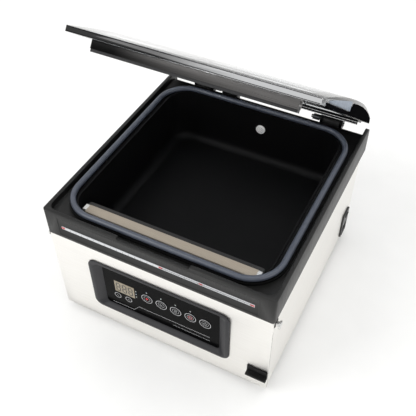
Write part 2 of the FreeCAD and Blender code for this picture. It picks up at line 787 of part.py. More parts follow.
def hinge_pins():
    pins = []
    for post, inward in zip(POSTS, (1, -1)):
        ends = [post - inward * (EAR_OUT + 2), post + inward * (EAR_OUT + SPRING_LENGTH + 2)]
        reach = (ends[0], ends[1]) if inward > 0 else (ends[1], ends[0])
        pins.append(solid_rod("x", size.pin_radius, reach, (0, 0)))
    return tilt(grouped("hinge_pins", pins))


def hinge_springs():
    """Torsion springs that carry part of the lid's weight, wound round the inner ends of the pins."""
    coils = []
    for post, inward in zip(POSTS, (1, -1)):
        ends = [post + inward * (EAR_OUT + 0.5), post + inward * (EAR_OUT + SPRING_LENGTH)]
        reach = (ends[0], ends[1]) if inward > 0 else (ends[1], ends[0])
        sleeve = solid_rod("x", size.pin_radius + 2.4, reach, (0, 0))
        bore = solid_rod("x", size.pin_radius + 0.2, (reach[0] - 1, reach[1] + 1), (0, 0))
        coils.append(drilled(sleeve, bore))
    return tilt(grouped("hinge_springs", coils))


POST_FOOT = skirt_bottom + 12


def hinge_post(name, middle):
    """Cast post on the frame's rear wall, rounded about the pin it carries."""
    body = new_body(name)
    half = size.post_width / 2
    back = hinge_y + size.post_radius
    add_box(body, (middle - half, middle + half), (rear, back), (POST_FOOT, hinge_z))
    add_rod(body, "x", size.post_radius, (middle - half, middle + half), (hinge_y, hinge_z))
    add_box(body, (middle - half, middle + half), (rear, hinge_y), (hinge_z - 1, hinge_z + 1))
    rounded(body, "x", 4, lambda p: near(p.y, back) and near(p.z, POST_FOOT))
    cut_rod(body, "x", size.pin_radius + size.pin_clearance, (middle - half - 1, middle + half + 1),
            (hinge_y, hinge_z))
    return finish(body)


def hinge_posts():
    return hinge_post("hinge_post_left", POSTS[0]), hinge_post("hinge_post_right", POSTS[1])


def lid_sensor():
    """Sealed magnetic sensor that tells the controls that the lid is down."""
    body = new_body("lid_sensor")
    half = size.switch_width / 2
    low, high = size.switch_offset - half, size.switch_offset + half
    add_box(body, (low, high), (rear, rear + 13), (POST_FOOT, rim_top - 7))
    rounded(body, "x", 3, lambda p: near(p.y, rear + 13))
    return finish(body)


# ---------------------------------------------------------------- sheet metal body
DOOR_BACK = front + size.door_recess + size.door_thickness
PAN_TOP = size.foot_height + size.pan_thickness
PANEL_TOP = skirt_bottom + size.panel_lap
BACK_FACE = rear - size.skirt_wall - FACE_GAP
BACK_INSIDE = BACK_FACE - size.sheet
PIVOT = (front + size.door_pivot_back, skirt_bottom - size.door_pivot_drop)
INLET_Y = rear - size.inlet_ahead
REAR_SCREWS = [(x * (panel_in - size.panel_flange / 2), z)
               for z in (PAN_TOP + 22, PANEL_TOP - 30) for x in (-1, 1)]
INLET_HOLE = SimpleNamespace(y=size.inlet_width / 2 - 2, z=size.inlet_height / 2 - 2)


def side_panel(name, side):
    """Side sheet, folded inwards at front and rear, with a rounded ear for the front panel's bolt."""
    body = new_body(name)
    plate = sorted([side * panel_in, side * panel_out], key=lambda s: s.number)
    fold = sorted([side * panel_in, side * (panel_in - size.panel_flange)], key=lambda s: s.number)
    low = DOOR_BACK + FACE_GAP
    add_box(body, plate, (low, BACK_INSIDE), (PAN_TOP, PANEL_TOP))
    add_box(body, fold, (low, low + size.sheet), (PAN_TOP, PIVOT[1] - 2))
    add_box(body, fold, (BACK_INSIDE - size.sheet, BACK_INSIDE), (PAN_TOP, PANEL_TOP))
    cut_box(body, (plate[0] - 1, plate[1] + 1), (low - 1, PIVOT[0] + 7), (PIVOT[1], PANEL_TOP + 1))
    add_rod(body, "x", size.pivot_ear, plate, PIVOT)
    cut_rod(body, "x", size.pivot_radius, (plate[0] - 1, plate[1] + 1), PIVOT)
    if side > 0:
        cut_box(body, (plate[0] - 1, plate[1] + 1), (INLET_Y - INLET_HOLE.y, INLET_Y + INLET_HOLE.y),
                (size.inlet_centre - INLET_HOLE.z, size.inlet_centre + INLET_HOLE.z))
    for x, z in REAR_SCREWS:
        if x.number * side > 0:
            cut_rod(body, "y", size.screw_radius, (BACK_INSIDE - size.sheet - 1, BACK_FACE), (x, z))
    return finish(body)


def side_panels():
    return side_panel("side_panel_left", -1), side_panel("side_panel_right", 1)


def rear_panel():
    """Back sheet with a row of upright cooling slots."""
    body = new_body("rear_panel")
    add_box(body, (-panel_out, panel_out), (BACK_INSIDE, BACK_FACE), (PAN_TOP, PANEL_TOP))
    first = -(size.vent_count - 1) * size.vent_pitch / 2 - size.vent_width / 2
    slot = cut_box(body, (first, first + size.vent_width), (BACK_INSIDE - 1, BACK_FACE + 1),
                   (PAN_TOP + 28, PAN_TOP + 28 + size.vent_length))
    doc.recompute()
    row = body.newObject("PartDesign::LinearPattern", "VentRow")
    row.Originals = [slot]
    row.Direction = ([f for f in body.Origin.OriginFeatures if f.Role == "X_Axis"][0], [""])
    row.Length = 1
    row.Occurrences = 2
    drive(row, "Length", (size.vent_count - 1) * size.vent_pitch)
    drive(row, "Occurrences", size.vent_count)
    body.Tip = row
    for x, z in REAR_SCREWS:
        cut_rod(body, "y", size.screw_radius, (BACK_INSIDE - 1, BACK_FACE + 1), (x, z))
    return finish(body)


def rear_screws():
    return screws("rear_screws", "y", REAR_SCREWS, size.sheet + 3, BACK_FACE, -1)


def base_pan():
    """Bottom plate with lips up inside the side and back sheets."""
    body = new_body("base_pan")
    add_box(body, (-panel_out, panel_out), (DOOR_BACK + FACE_GAP, BACK_FACE), (size.foot_height, PAN_TOP))
    lip_top = PAN_TOP + size.pan_lip
    for low, high in ((-panel_in, size.sheet - panel_in), (panel_in - size.sheet, panel_in)):
        add_box(body, (low, high), (front + 30, rear - 60), (PAN_TOP, lip_top))
    foot_x = half_width - size.foot_inset
    for x in (-foot_x, foot_x):
        for y in (front + size.foot_inset, rear - size.foot_inset):
            cut_rod(body, "z", 2.5, (size.foot_height - 1, PAN_TOP + 1), (x, y))
    return finish(body)


def feet():
    """Rubber feet, each moulded with the plug that snaps into the bottom plate."""
    pieces = []
    for x in (-1, 1):
        for y in (front + size.foot_inset, rear - size.foot_inset):
            place = (x * (half_width - size.foot_inset), y)
            pieces.append(merged([
                solid_rod("z", size.foot_radius, (0, size.foot_height), place),
                solid_rod("z", 2.5, (size.foot_height, PAN_TOP + 2), place)]))
    return grouped("feet", pieces)


# ---------------------------------------------------------------- front service panel
FLANGE_IN = panel_out + FACE_GAP
FLANGE_OUT = FLANGE_IN + size.sheet
BEZEL = SimpleNamespace(
    half=size.bezel_width / 2,
    top=rim_top - size.bezel_drop,
    bottom=rim_top - size.bezel_drop - size.bezel_height,
    face=front + size.door_recess - size.bezel_lip,
)
FASCIA = BEZEL.face + size.recess_depth
FASCIA_BACK = FASCIA + size.fascia_thickness
BOARD = FASCIA_BACK + size.button_flange + size.button_travel + 1.5
CUP_INSET = 4.0
CUP_GAP = 0.3


def front_panel():
    """Steel front that swings on two bolts; tapered flanges, clipped at the top, wrap the side sheets."""
    body = new_body("front_panel")
    face = front + size.door_recess
    top = skirt_bottom - size.door_gap
    add_box(body, (-FLANGE_OUT, FLANGE_OUT), (face, DOOR_BACK), (size.foot_height, top))
    cup = BEZEL.half - CUP_INSET + CUP_GAP
    cut_box(body, (-cup, cup), (face - 1, DOOR_BACK + 1),
            (BEZEL.bottom + CUP_INSET - CUP_GAP, BEZEL.top - CUP_INSET + CUP_GAP))
    for low, high in ((-FLANGE_OUT, -FLANGE_IN), (FLANGE_IN, FLANGE_OUT)):
        flange = outline(body, "YZ_Plane", [
            (face, size.foot_height), (face, top), (face + size.door_flange_top, top),
            (face + size.door_flange_bottom, size.foot_height)])
        pad(body, flange, low, high)
    for low, high in ((-FLANGE_OUT - 1, 0.6 - FLANGE_IN), (FLANGE_IN - 0.6, FLANGE_OUT + 1)):
        corner = outline(body, "YZ_Plane", [
            (face - 1, PIVOT[1] + 5.4), (face - 1, top + 1), (face + 5.2, top + 1)])
        pocket(body, corner, low, high)
    cut_rod(body, "x", size.pivot_radius + size.pin_clearance, (-FLANGE_OUT - 1, FLANGE_OUT + 1), PIVOT)
    return finish(body)


def door_pivots():
    """Shoulder bolts with a spacer and a disc head; the front panel turns on them."""
    bolts = []
    for side in (-1, 1):
        lengths = ((panel_in - 5, FLANGE_OUT + FACE_GAP, size.pivot_radius),
                   (FLANGE_OUT + FACE_GAP, FLANGE_OUT + 5, 4.2),
                   (FLANGE_OUT + 5, FLANGE_OUT + 7.5, size.pivot_head_radius))
        pieces = []
        for low, high, radius in lengths:
            reach = (low, high) if side > 0 else (-high, -low)
            pieces.append(solid_rod("x", radius, reach, PIVOT))
        bolts.append(merged(pieces))
    return grouped("door_pivots", bolts)


def pull_tab():
    """Black finger tab at the panel's lower right corner."""
    body = new_body("pull_tab")
    face = front + size.door_recess
    low, high = FLANGE_OUT - size.pull_width, FLANGE_OUT
    top = rim_top - size.pull_drop
    add_box(body, (low, high), (face - 2, face), (top - size.pull_height, top))
    add_box(body, (low, high), (face - size.pull_reach, face),
            (top - size.pull_height, top - size.pull_height + size.pull_thickness))
    rounded(body, "x", 1.2, lambda p: near(p.y, face - size.pull_reach))
    return finish(body)


def control_bezel():
    """Dark moulded surround whose walls slope in to the control fascia."""
    body = new_body("control_bezel")
    back = FASCIA
    add_box(body, (-BEZEL.half, BEZEL.half), (BEZEL.face, BEZEL.face + size.bezel_lip),
            (BEZEL.bottom, BEZEL.top))
    rounded(body, "y", size.bezel_corner, lambda p: True)
    cup = BEZEL.half - CUP_INSET
    cup_low, cup_high = BEZEL.bottom + CUP_INSET, BEZEL.top - CUP_INSET
    add_box(body, (-cup, cup), (BEZEL.face + size.bezel_lip, back), (cup_low, cup_high))
    mouth = BEZEL.half - size.bezel_side / 1.5
    deep = mouth - size.bezel_side
    wide = outline(body, "XZ_Plane", rounded_rectangle(mouth, BEZEL.bottom + 5, BEZEL.top - 5, 9))
    narrow = outline(body, "XZ_Plane", rounded_rectangle(deep, BEZEL.bottom + 9, BEZEL.top - 9, 5))
    drive(wide, "AttachmentOffset.Base.z", 0.01 - BEZEL.face)
    drive(narrow, "AttachmentOffset.Base.z", -back)
    before = body.Tip.Shape.Volume
    loft = body.newObject("PartDesign::SubtractiveLoft", "Recess")
    loft.Profile = wide
    loft.Sections = [narrow]
    loft.Ruled = True
    doc.recompute()
    if not loft.Shape.Volume < before - 1:
        raise RuntimeError("control_bezel: the recess cut nothing")
    return finish(body)


def button_places():
    return [(size.button_first + number * size.button_pitch, rim_top - size.button_drop)
            for number in range(5)]


def arrow_places():
    return [(size.arrow_first + number * size.arrow_pitch, rim_top - size.arrow_drop)
            for number in range(2)]


def led_places():
    over = [(x, z + size.button_radius + 6) for x, z in button_places()[:4]]
    beside = [(size.button_first - 20, rim_top - size.button_drop + level) for level in (6, -1, -8)]
    return over + beside


WINDOW = ((size.window_offset - size.window_width / 2, size.window_offset + size.window_width / 2),
          (rim_top - size.window_drop - size.window_height / 2,
           rim_top - size.window_drop + size.window_height / 2))
LED_RADIUS = 1.1


def control_fascia():
    """Gloss black plate behind the bezel, with round button holes and a display window."""
    body = new_body("control_fascia")
    half = BEZEL.half - 14
    add_box(body, (-half, half), (FASCIA, FASCIA_BACK), (BEZEL.bottom + 6, BEZEL.top - 6))
    through = (FASCIA - 1, FASCIA_BACK + 1)
    cut_box(body, WINDOW[0], through, WINDOW[1])
    for place in button_places():
        cut_rod(body, "y", size.button_radius + size.button_clearance, through, place)
    for place in arrow_places():
        cut_rod(body, "y", size.arrow_radius + size.button_clearance, through, place)
    for place in led_places():
        cut_rod(body, "y", LED_RADIUS, through, place)
    return finish(body)


def display_window():
    return named(solid_box(WINDOW[0], (FASCIA - 0.2, FASCIA_BACK + 1), WINDOW[1]), "display_window")


def indicator_leds():
    return grouped("indicator_leds", [solid_rod("y", LED_RADIUS, (FASCIA - 0.2, BOARD), place)
                                      for place in led_places()])


def control_board():
    """Circuit board behind the fascia on four spacers, with a press switch under each button."""
    body = new_body("control_board")
    half = BEZEL.half - 20
    add_box(body, (-half, half), (BOARD, BOARD + size.board_thickness), (BEZEL.bottom + 10, BEZEL.top - 10))
    for x in (-half + 5, half - 5):
        for z in (BEZEL.bottom + 15, BEZEL.top - 15):
            add_rod(body, "y", 3, (FASCIA_BACK, BOARD), (x, z))
    for x, z in button_places() + arrow_places():
        add_box(body, (x - 3, x + 3), (BOARD - 1.2, BOARD), (z - 3, z + 3))
    return finish(body)


def button(name, place, radius):
    """Round cap with a collar behind the fascia that keeps it in its hole."""
    cap = solid_rod("y", radius, (FASCIA - size.button_proud, FASCIA_BACK), place)
    collar = solid_rod("y", radius + 1.2, (FASCIA_BACK, FASCIA_BACK + size.button_flange), place)
    return joined(name, [cap, collar])


BUTTON_NAMES = ("set_button", "pause_button", "cycle_button", "seal_button", "power_button")
ARROW_NAMES = ("down_button", "up_button")


def buttons():
    caps = [button(name, place, size.button_radius) for name, place in zip(BUTTON_NAMES, button_places())]
    arrows = [button(name, place, size.arrow_radius) for name, place in zip(ARROW_NAMES, arrow_places())]
    return caps + arrows


# ---------------------------------------------------------------- power entry
INLET_FACE = panel_out + size.inlet_flange
SOCKET_Z = size.inlet_centre - 9
ROCKER_Z = size.inlet_centre + 14.5
ROCKER_X = INLET_FACE - 6


def power_inlet():
    """Mains inlet module in the right side sheet: pin socket below, switch well above."""
    body = new_body("power_inlet")
    half = size.inlet_width / 2
    tall = size.inlet_height / 2
    add_box(body, (panel_out, INLET_FACE), (INLET_Y - half, INLET_Y + half),
            (size.inlet_centre - tall, size.inlet_centre + tall))
    rounded(body, "x", 4, lambda p: True)
    add_box(body, (panel_out - size.inlet_depth, panel_out),
            (INLET_Y - INLET_HOLE.y, INLET_Y + INLET_HOLE.y),
            (size.inlet_centre - INLET_HOLE.z, size.inlet_centre + INLET_HOLE.z))
    cut_box(body, (INLET_FACE - 18, INLET_FACE + 1), (INLET_Y - 11.5, INLET_Y + 11.5),
            (SOCKET_Z - 8, SOCKET_Z + 8))
    for y, z in ((-7, -2), (7, -2), (0, 2)):
        add_box(body, (INLET_FACE - 18, INLET_FACE - 4), (INLET_Y + y - 1, INLET_Y + y + 1),
                (SOCKET_Z + z - 2, SOCKET_Z + z + 2))
    cut_box(body, (ROCKER_X - 12, INLET_FACE + 1),
            (INLET_Y - size.rocker_width / 2 - 0.4, INLET_Y + size.rocker_width / 2 + 0.4),
            (ROCKER_Z - size.rocker_length / 2 - 1.0, ROCKER_Z + size.rocker_length / 2 + 1.0))
    cut_box(body, (INLET_FACE - 12, INLET_FACE + 1), (INLET_Y - 10, INLET_Y + 10),
            (size.inlet_centre - tall + 3, size.inlet_centre - tall + 9))
    return finish(body)


def fuse_drawer():
    tall = size.inlet_height / 2
    drawer = solid_box((INLET_FACE - 12, INLET_FACE + 0.8), (INLET_Y - 10, INLET_Y + 10),
                       (size.inlet_centre - tall + 3, size.inlet_centre - tall + 9))
    return named(drawer, "fuse_drawer")


def rocker_switch():
    """Rocker key, drawn level about its own axle and then tipped to its off side."""
    body = new_body("rocker_switch")
    end = size.rocker_length / 2 - 0.2
    half = size.rocker_width / 2
    key = outline(body, "XZ_Plane", [(-5, -end + 3), (7.2, -end), (5.6, 0), (7.2, end), (-5, end - 3)])
    pad(body, key, -half, half)
    body.Placement = FreeCAD.Placement(FreeCAD.Vector(), FreeCAD.Rotation(FreeCAD.Vector(0, 1, 0), 7))
    drive(body, "Placement.Rotation.Angle", size.rocker_throw / 2)
    settle(body, ROCKER_X, INLET_Y, ROCKER_Z)
    return finish(body)


# ---------------------------------------------------------------- machinery under the chamber
MOTOR = SimpleNamespace(y=-10.0, z=PAN_TOP + 10 + size.motor_radius, low=-140.0)
MOTOR.high = MOTOR.low + size.motor_length
PUMP_HIGH = MOTOR.high + size.pump_length


def pump_motor():
    barrel = solid_rod("x", size.motor_radius, (MOTOR.low, MOTOR.high), (MOTOR.y, MOTOR.z))
    cap = solid_rod("x", size.motor_radius - 8, (MOTOR.low - 8, MOTOR.low), (MOTOR.y, MOTOR.z))
    return joined("pump_motor", [barrel, cap])


def vacuum_pump():
    """Oil-sealed rotary pump bolted to the motor's end."""
    body = new_body("vacuum_pump")
    half = size.pump_radius
    add_box(body, (MOTOR.high, PUMP_HIGH), (MOTOR.y - half, MOTOR.y + half),
            (MOTOR.z - half - 6, MOTOR.z + half))
    rounded(body, "x", 8, lambda p: True)
    add_rod(body, "z", 9, (MOTOR.z + half, MOTOR.z + half + 9), (PUMP_HIGH - 30, MOTOR.y))
    return finish(body)


def pump_mounts():
    """Rubber blocks between the pump set and the bottom plate."""
    half = 9
    under_motor = MOTOR.z - size.motor_radius
    under_pump = MOTOR.z - size.pump_radius - 6
    blocks = []
    for x, under in ((MOTOR.low + 20, under_motor), (MOTOR.high - 20, under_motor),
                     (MOTOR.high + 25, under_pump), (PUMP_HIGH - 25, under_pump)):
        blocks.append(solid_box((x - half, x + half), (MOTOR.y - half, MOTOR.y + half), (PAN_TOP, under)))
    return grouped("pump_mounts", blocks)


def transformer():
    """Heating transformer for the seal band: a laminated core through a wound bobbin."""
    core = solid_box((60, 126), (-120, -66), (PAN_TOP, PAN_TOP + 56))
    winding = solid_box((72, 114), (-130, -56), (PAN_TOP + 10, PAN_TOP + 46))
    return joined("transformer", [core, winding])


VALVE = SimpleNamespace(x=size.port_offset, y=PORT_BACK - 12, top=PAN_TOP + 40)


def air_valve():
    """Solenoid valve that shuts the pump off and lets air back into the chamber."""
    block = solid_box((VALVE.x - 16, VALVE.x + 16), (VALVE.y - 14, VALVE.y + 27), (PAN_TOP, VALVE.top))
    coil = solid_rod("z", 12, (VALVE.top, VALVE.top + 28), (VALVE.x, VALVE.y))
    return joined("air_valve", [block, coil])


def vacuum_hoses():
    """Rubber hoses: one from the port's barb down to the valve, one from the valve to the pump."""
    place = (size.port_offset, PORT_DOWN)
    upper = drilled(solid_rod("z", size.hose_radius, (VALVE.top, BARB_TOP), place),
                    solid_rod("z", size.barb_radius, (BARB_END, BARB_TOP + 1), place))
    lower = solid_rod("y", size.hose_radius, (MOTOR.y + size.pump_radius, VALVE.y - 14),
                      (VALVE.x, PAN_TOP + 26))
    return grouped("vacuum_hoses", [upper, lower])


def power_board():
    """Power supply board standing on spacers by the left side sheet."""
    inside = -panel_in
    board = solid_box((inside + 8, inside + 9.6), (40, 150), (PAN_TOP + 16, PAN_TOP + 92))
    parts = [board]
    for y, z, tall in ((60, PAN_TOP + 30, 22), (95, PAN_TOP + 34, 28), (128, PAN_TOP + 60, 18)):
        parts.append(solid_box((inside + 9.6, inside + 9.6 + tall), (y - 12, y + 12), (z - 8, z + 16)))
    for y in (46, 144):
        for z in (PAN_TOP + 22, PAN_TOP + 86):
            parts.append(solid_rod("x", 3, (inside, inside + 8), (y, z)))
    return joined("power_board", parts)


# ---------------------------------------------------------------- build, check and write
MAKERS = (
    upper_frame, ruler_strip, chamber_tub, chamber_gasket, vacuum_port,
    seal_bar_base, heating_band, seal_tape, seal_bar_clips, lift_rods, lift_cylinders,
    lid_panel, lid_trims, counter_bar, counter_strip, lid_screws, hinge_rail, hinge_pins,
    hinge_springs, hinge_posts, lid_sensor,
    side_panels, rear_panel, rear_screws, base_pan, feet,
    front_panel, door_pivots, pull_tab, control_bezel, control_fascia, display_window,
    indicator_leds, control_board, buttons,
    power_inlet, fuse_drawer, rocker_switch,
    pump_motor, vacuum_pump, pump_mounts, transformer, air_valve, vacuum_hoses, power_board,
)

for maker in MAKERS:
    maker()
doc.recompute()
for thing in doc.Objects:
    if "Invalid" in thing.State or "Error" in thing.State:
        raise RuntimeError(f"{thing.Label} did not build")
for label, thing in SUBPARTS.items():
    if thing.Shape.isNull() or not thing.Shape.isValid():
        raise RuntimeError(f"{label} has no valid shape")

os.makedirs("parts", exist_ok=True)
for label, thing in SUBPARTS.items():
    thing.Shape.exportStep(f"parts/{label}.step")
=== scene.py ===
import json
import math

import bmesh
import bpy
from mathutils import Matrix, Vector

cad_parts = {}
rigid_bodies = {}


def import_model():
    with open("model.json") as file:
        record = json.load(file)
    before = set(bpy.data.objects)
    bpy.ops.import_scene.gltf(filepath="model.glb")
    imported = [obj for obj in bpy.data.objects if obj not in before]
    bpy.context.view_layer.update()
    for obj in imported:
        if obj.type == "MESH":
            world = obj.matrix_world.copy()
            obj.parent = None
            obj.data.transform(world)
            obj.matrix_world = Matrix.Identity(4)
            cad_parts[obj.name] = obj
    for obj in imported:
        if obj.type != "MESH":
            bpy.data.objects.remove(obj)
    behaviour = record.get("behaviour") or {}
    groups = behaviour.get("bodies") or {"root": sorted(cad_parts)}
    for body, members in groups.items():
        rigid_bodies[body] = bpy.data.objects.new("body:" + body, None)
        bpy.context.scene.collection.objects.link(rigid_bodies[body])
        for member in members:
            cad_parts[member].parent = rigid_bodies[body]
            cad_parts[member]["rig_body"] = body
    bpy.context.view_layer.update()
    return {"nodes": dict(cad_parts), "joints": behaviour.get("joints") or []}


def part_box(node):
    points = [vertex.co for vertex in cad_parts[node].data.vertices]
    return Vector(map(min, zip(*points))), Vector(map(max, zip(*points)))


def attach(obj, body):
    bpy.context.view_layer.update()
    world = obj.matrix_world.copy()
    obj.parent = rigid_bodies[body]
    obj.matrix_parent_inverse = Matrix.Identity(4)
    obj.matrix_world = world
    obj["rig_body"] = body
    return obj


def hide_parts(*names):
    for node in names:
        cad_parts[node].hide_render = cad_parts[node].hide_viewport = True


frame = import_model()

# The studio: a white sweep under the machine, an even white surround, one broad soft light from the
# front left, one from above and a weak fill from the right, as for a catalogue.
tray_low, tray_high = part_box("upper_frame")


def linear(colour):
    """An sRGB hex colour as linear red, green, blue and alpha."""
    parts = [int(colour[start:start + 2], 16) / 255 for start in (1, 3, 5)]
    return [p / 12.92 if p <= 0.04045 else ((p + 0.055) / 1.055) ** 2.4 for p in parts] + [1.0]


def add(tree, kind, inputs=None, **settings):
    """Adds a node; inputs are constants, or other nodes' output sockets to link."""
    node = tree.nodes.new(kind)
    for key, value in settings.items():
        setattr(node, key, value)
    for key, value in (inputs or {}).items():
        if isinstance(value, bpy.types.NodeSocket):
            tree.links.new(value, node.inputs[key])
        else:
            node.inputs[key].default_value = value
    return node


def finish(name, **sockets):
    """A material with one Principled shader; its constant sockets are given by name."""
    material = bpy.data.materials.new(name)
    material.use_nodes = True
    tree = material.node_tree
    tree.nodes.clear()
    shader = add(tree, "ShaderNodeBsdfPrincipled",
                 {key.replace("_", " "): value for key, value in sockets.items()})
    add(tree, "ShaderNodeOutputMaterial", {"Surface": shader.outputs[0]})
    return material, tree, shader


def speckle(tree, sizes_mm, detail=2.0):
    """Noise on object coordinates whose grains are about this many millimetres along x, y and z."""
    place = add(tree, "ShaderNodeTexCoord")
    scaled = add(tree, "ShaderNodeMapping", {"Vector": place.outputs["Object"],
                                             "Scale": [1000 / size for size in sizes_mm]})
    return add(tree, "ShaderNodeTexNoise", {"Vector": scaled.outputs[0], "Scale": 1.0,
                                            "Detail": detail}).outputs["Fac"]


def vary(tree, source, low, high):
    """Spreads a noise's middle range between two values."""
    return add(tree, "ShaderNodeMapRange", {"Value": source, "From Min": 0.3, "From Max": 0.7,
                                            "To Min": low, "To Max": high}).outputs[0]


def tint(tree, source, dark, light):
    """Blends two colours by a noise."""
    return add(tree, "ShaderNodeMix", {"Factor": source, "A": linear(dark), "B": linear(light)},
               data_type="RGBA").outputs["Result"]


def relief(tree, shader, source, depth_mm, strength=1.0):
    """Bump from a noise, this many millimetres deep."""
    bump = add(tree, "ShaderNodeBump", {"Height": source, "Distance": depth_mm / 1000,
                                        "Strength": strength})
    tree.links.new(bump.outputs[0], shader.inputs["Normal"])


def fade(tree, start, stop, near, far, **how):
    """Blends two colours from left to right, between two places along the object's x."""
    place = add(tree, "ShaderNodeTexCoord").outputs["Object"]
    along = add(tree, "ShaderNodeSeparateXYZ", {0: place}).outputs[0]
    share = add(tree, "ShaderNodeMapRange", {"Value": along, "From Min": start, "From Max": stop},
                **how).outputs[0]
    return add(tree, "ShaderNodeMix", {"Factor": share, "A": near, "B": far},
               data_type="RGBA").outputs["Result"]


def link(tree, source, shader, socket):
    """Feeds a shader's socket, named as the shader names it."""
    tree.links.new(source, shader.inputs[socket])


sweep_paper, tree, shader = finish("matt_white_sweep_paper", Roughness=0.85)
link(tree, tint(tree, speckle(tree, (60, 60, 60)), "#f6f6f5", "#fbfbfa"), shader, "Base Color")
sweep = bmesh.new()
bmesh.ops.create_grid(sweep, x_segments=4, y_segments=4, size=6.0)
sweep_mesh = bpy.data.meshes.new("studio_floor")
sweep.to_mesh(sweep_mesh)
sweep.free()
sweep_mesh.materials.append(sweep_paper)
studio_floor = bpy.data.objects.new("studio_floor", sweep_mesh)
bpy.context.scene.collection.objects.link(studio_floor)

SURROUND_STRENGTH = 0.86
surround = bpy.data.worlds.new("white_surround")
surround.use_nodes = True
sky = surround.node_tree.nodes["Background"].inputs
sky["Color"].default_value = (1.0, 1.0, 1.0, 1.0)
sky["Strength"].default_value = SURROUND_STRENGTH
bpy.context.scene.world = surround
bpy.context.scene.view_settings.view_transform = "Standard"

LIT_POINT = Vector((0, 0, 0.15))
for name, place, size, power in (
        ("key_light", (-1.1, -1.3, 1.9), 1.2, 16), ("top_light", (0.3, 0.5, 2.4), 1.6, 9),
        ("fill_light", (1.9, -0.6, 0.9), 1.4, 5)):      # places and sizes in metres, powers in watts
    lamp = bpy.data.lights.new(name, "AREA")
    lamp.size = size
    lamp.energy = power
    light = bpy.data.objects.new(name, lamp)
    light.location = place
    light.rotation_euler = (LIT_POINT - Vector(place)).to_track_quat("-Z", "Y").to_euler()
    bpy.context.scene.collection.objects.link(light)

TURN, LIFT, ROLL = math.radians(27.388), math.radians(46.154), math.radians(-0.423)
DISTANCE, LENS, SENSOR = 1.0298, 55.64, 36.0    # metres, millimetres, millimetres
aim = Vector((-0.0005, tray_low.y + 0.1689, tray_high.z - 0.0696))
back = Vector((math.sin(TURN) * math.cos(LIFT), -math.cos(TURN) * math.cos(LIFT), math.sin(LIFT)))
side = (-back).cross(Vector((0, 0, 1))).normalized()
over = side.cross(-back)
right = side * math.cos(ROLL) + over * math.sin(ROLL)
up = -side * math.sin(ROLL) + over * math.cos(ROLL)
camera_data = bpy.data.cameras.new("catalogue_camera")
camera_data.sensor_width = SENSOR
camera_data.lens = LENS
camera = bpy.data.objects.new("catalogue_camera", camera_data)
facing = Matrix((right, up, back)).transposed().to_4x4()
camera.matrix_world = Matrix.Translation(aim + back * DISTANCE) @ facing
bpy.context.scene.collection.objects.link(camera)
bpy.context.scene.camera = camera


# The outer case: 1.2 mm stainless sheet, brushed along its length, folded at the edges and screwed
# together; the front is a separate folded panel that swings on two bolts.
def dress(material, *names):
    """Gives CAD pieces their finish."""
    for name in names:
        for place in frame["nodes"][name].material_slots:
            place.material = material


brushed_stainless, tree, shader = finish("brushed_stainless_sheet", Metallic=1.0, Anisotropic=0.3)
lines = speckle(tree, (55, 55, 0.7), 3.0)     # brush lines, drawn coarser than the real 0.15 mm
clouds = speckle(tree, (90, 90, 120))         # slow unevenness of rolled sheet
link(tree, tint(tree, lines, "#ece9e4", "#fbfaf7"), shader, "Base Color")
link(tree, vary(tree, clouds, 0.30, 0.40), shader, "Roughness")
relief(tree, shader, lines, 0.012, 0.35)


def draft_of(shape, name):
    """An object to work on, made from a bmesh that it uses up."""
    mesh = bpy.data.meshes.new(name)
    shape.to_mesh(mesh)
    shape.free()
    draft = bpy.data.objects.new("draft", mesh)
    bpy.context.scene.collection.objects.link(draft)
    return draft


def eased(node, width_mm, material, slot, parts=2, limit=38):
    """Stands in for a CAD piece with a copy whose sharp edges are rounded by a small radius."""
    source = frame["nodes"][node]
    shape = bmesh.new()
    shape.from_mesh(source.data)
    bmesh.ops.remove_doubles(shape, verts=shape.verts, dist=2e-6)
    bmesh.ops.dissolve_limit(shape, angle_limit=math.radians(0.4), verts=shape.verts, edges=shape.edges)
    draft = draft_of(shape, node + "_eased")
    bevel = draft.modifiers.new("Eased edges", "BEVEL")
    bevel.width = width_mm / 1000
    bevel.segments = parts
    bevel.limit_method = "ANGLE"
    bevel.angle_limit = math.radians(limit)
    bevel.use_clamp_overlap = False
    return settle(draft, node + "_eased", material, source["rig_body"], slot, node)


def settle(draft, name, material, body, slot, *replaced):
    """Turns a draft object with live modifiers into a plain finished piece on its body."""
    bpy.context.view_layer.update()
    solid = bpy.data.meshes.new_from_object(draft.evaluated_get(bpy.context.evaluated_depsgraph_get()))
    solid.name = name
    bpy.data.objects.remove(draft)
    solid.materials.clear()
    solid.materials.append(material)
    solid.polygons.foreach_set("use_smooth", [True] * len(solid.polygons))
    solid.set_sharp_from_angle(angle=math.radians(50))
    piece = bpy.data.objects.new(name, solid)
    bpy.context.scene.collection.objects.link(piece)
    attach(piece, body)
    if replaced:
        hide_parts(*replaced)
    return piece


dress(brushed_stainless, "side_panel_left", "side_panel_right", "rear_panel", "base_pan")
eased("front_panel", 0.5, brushed_stainless, "panel_paint")


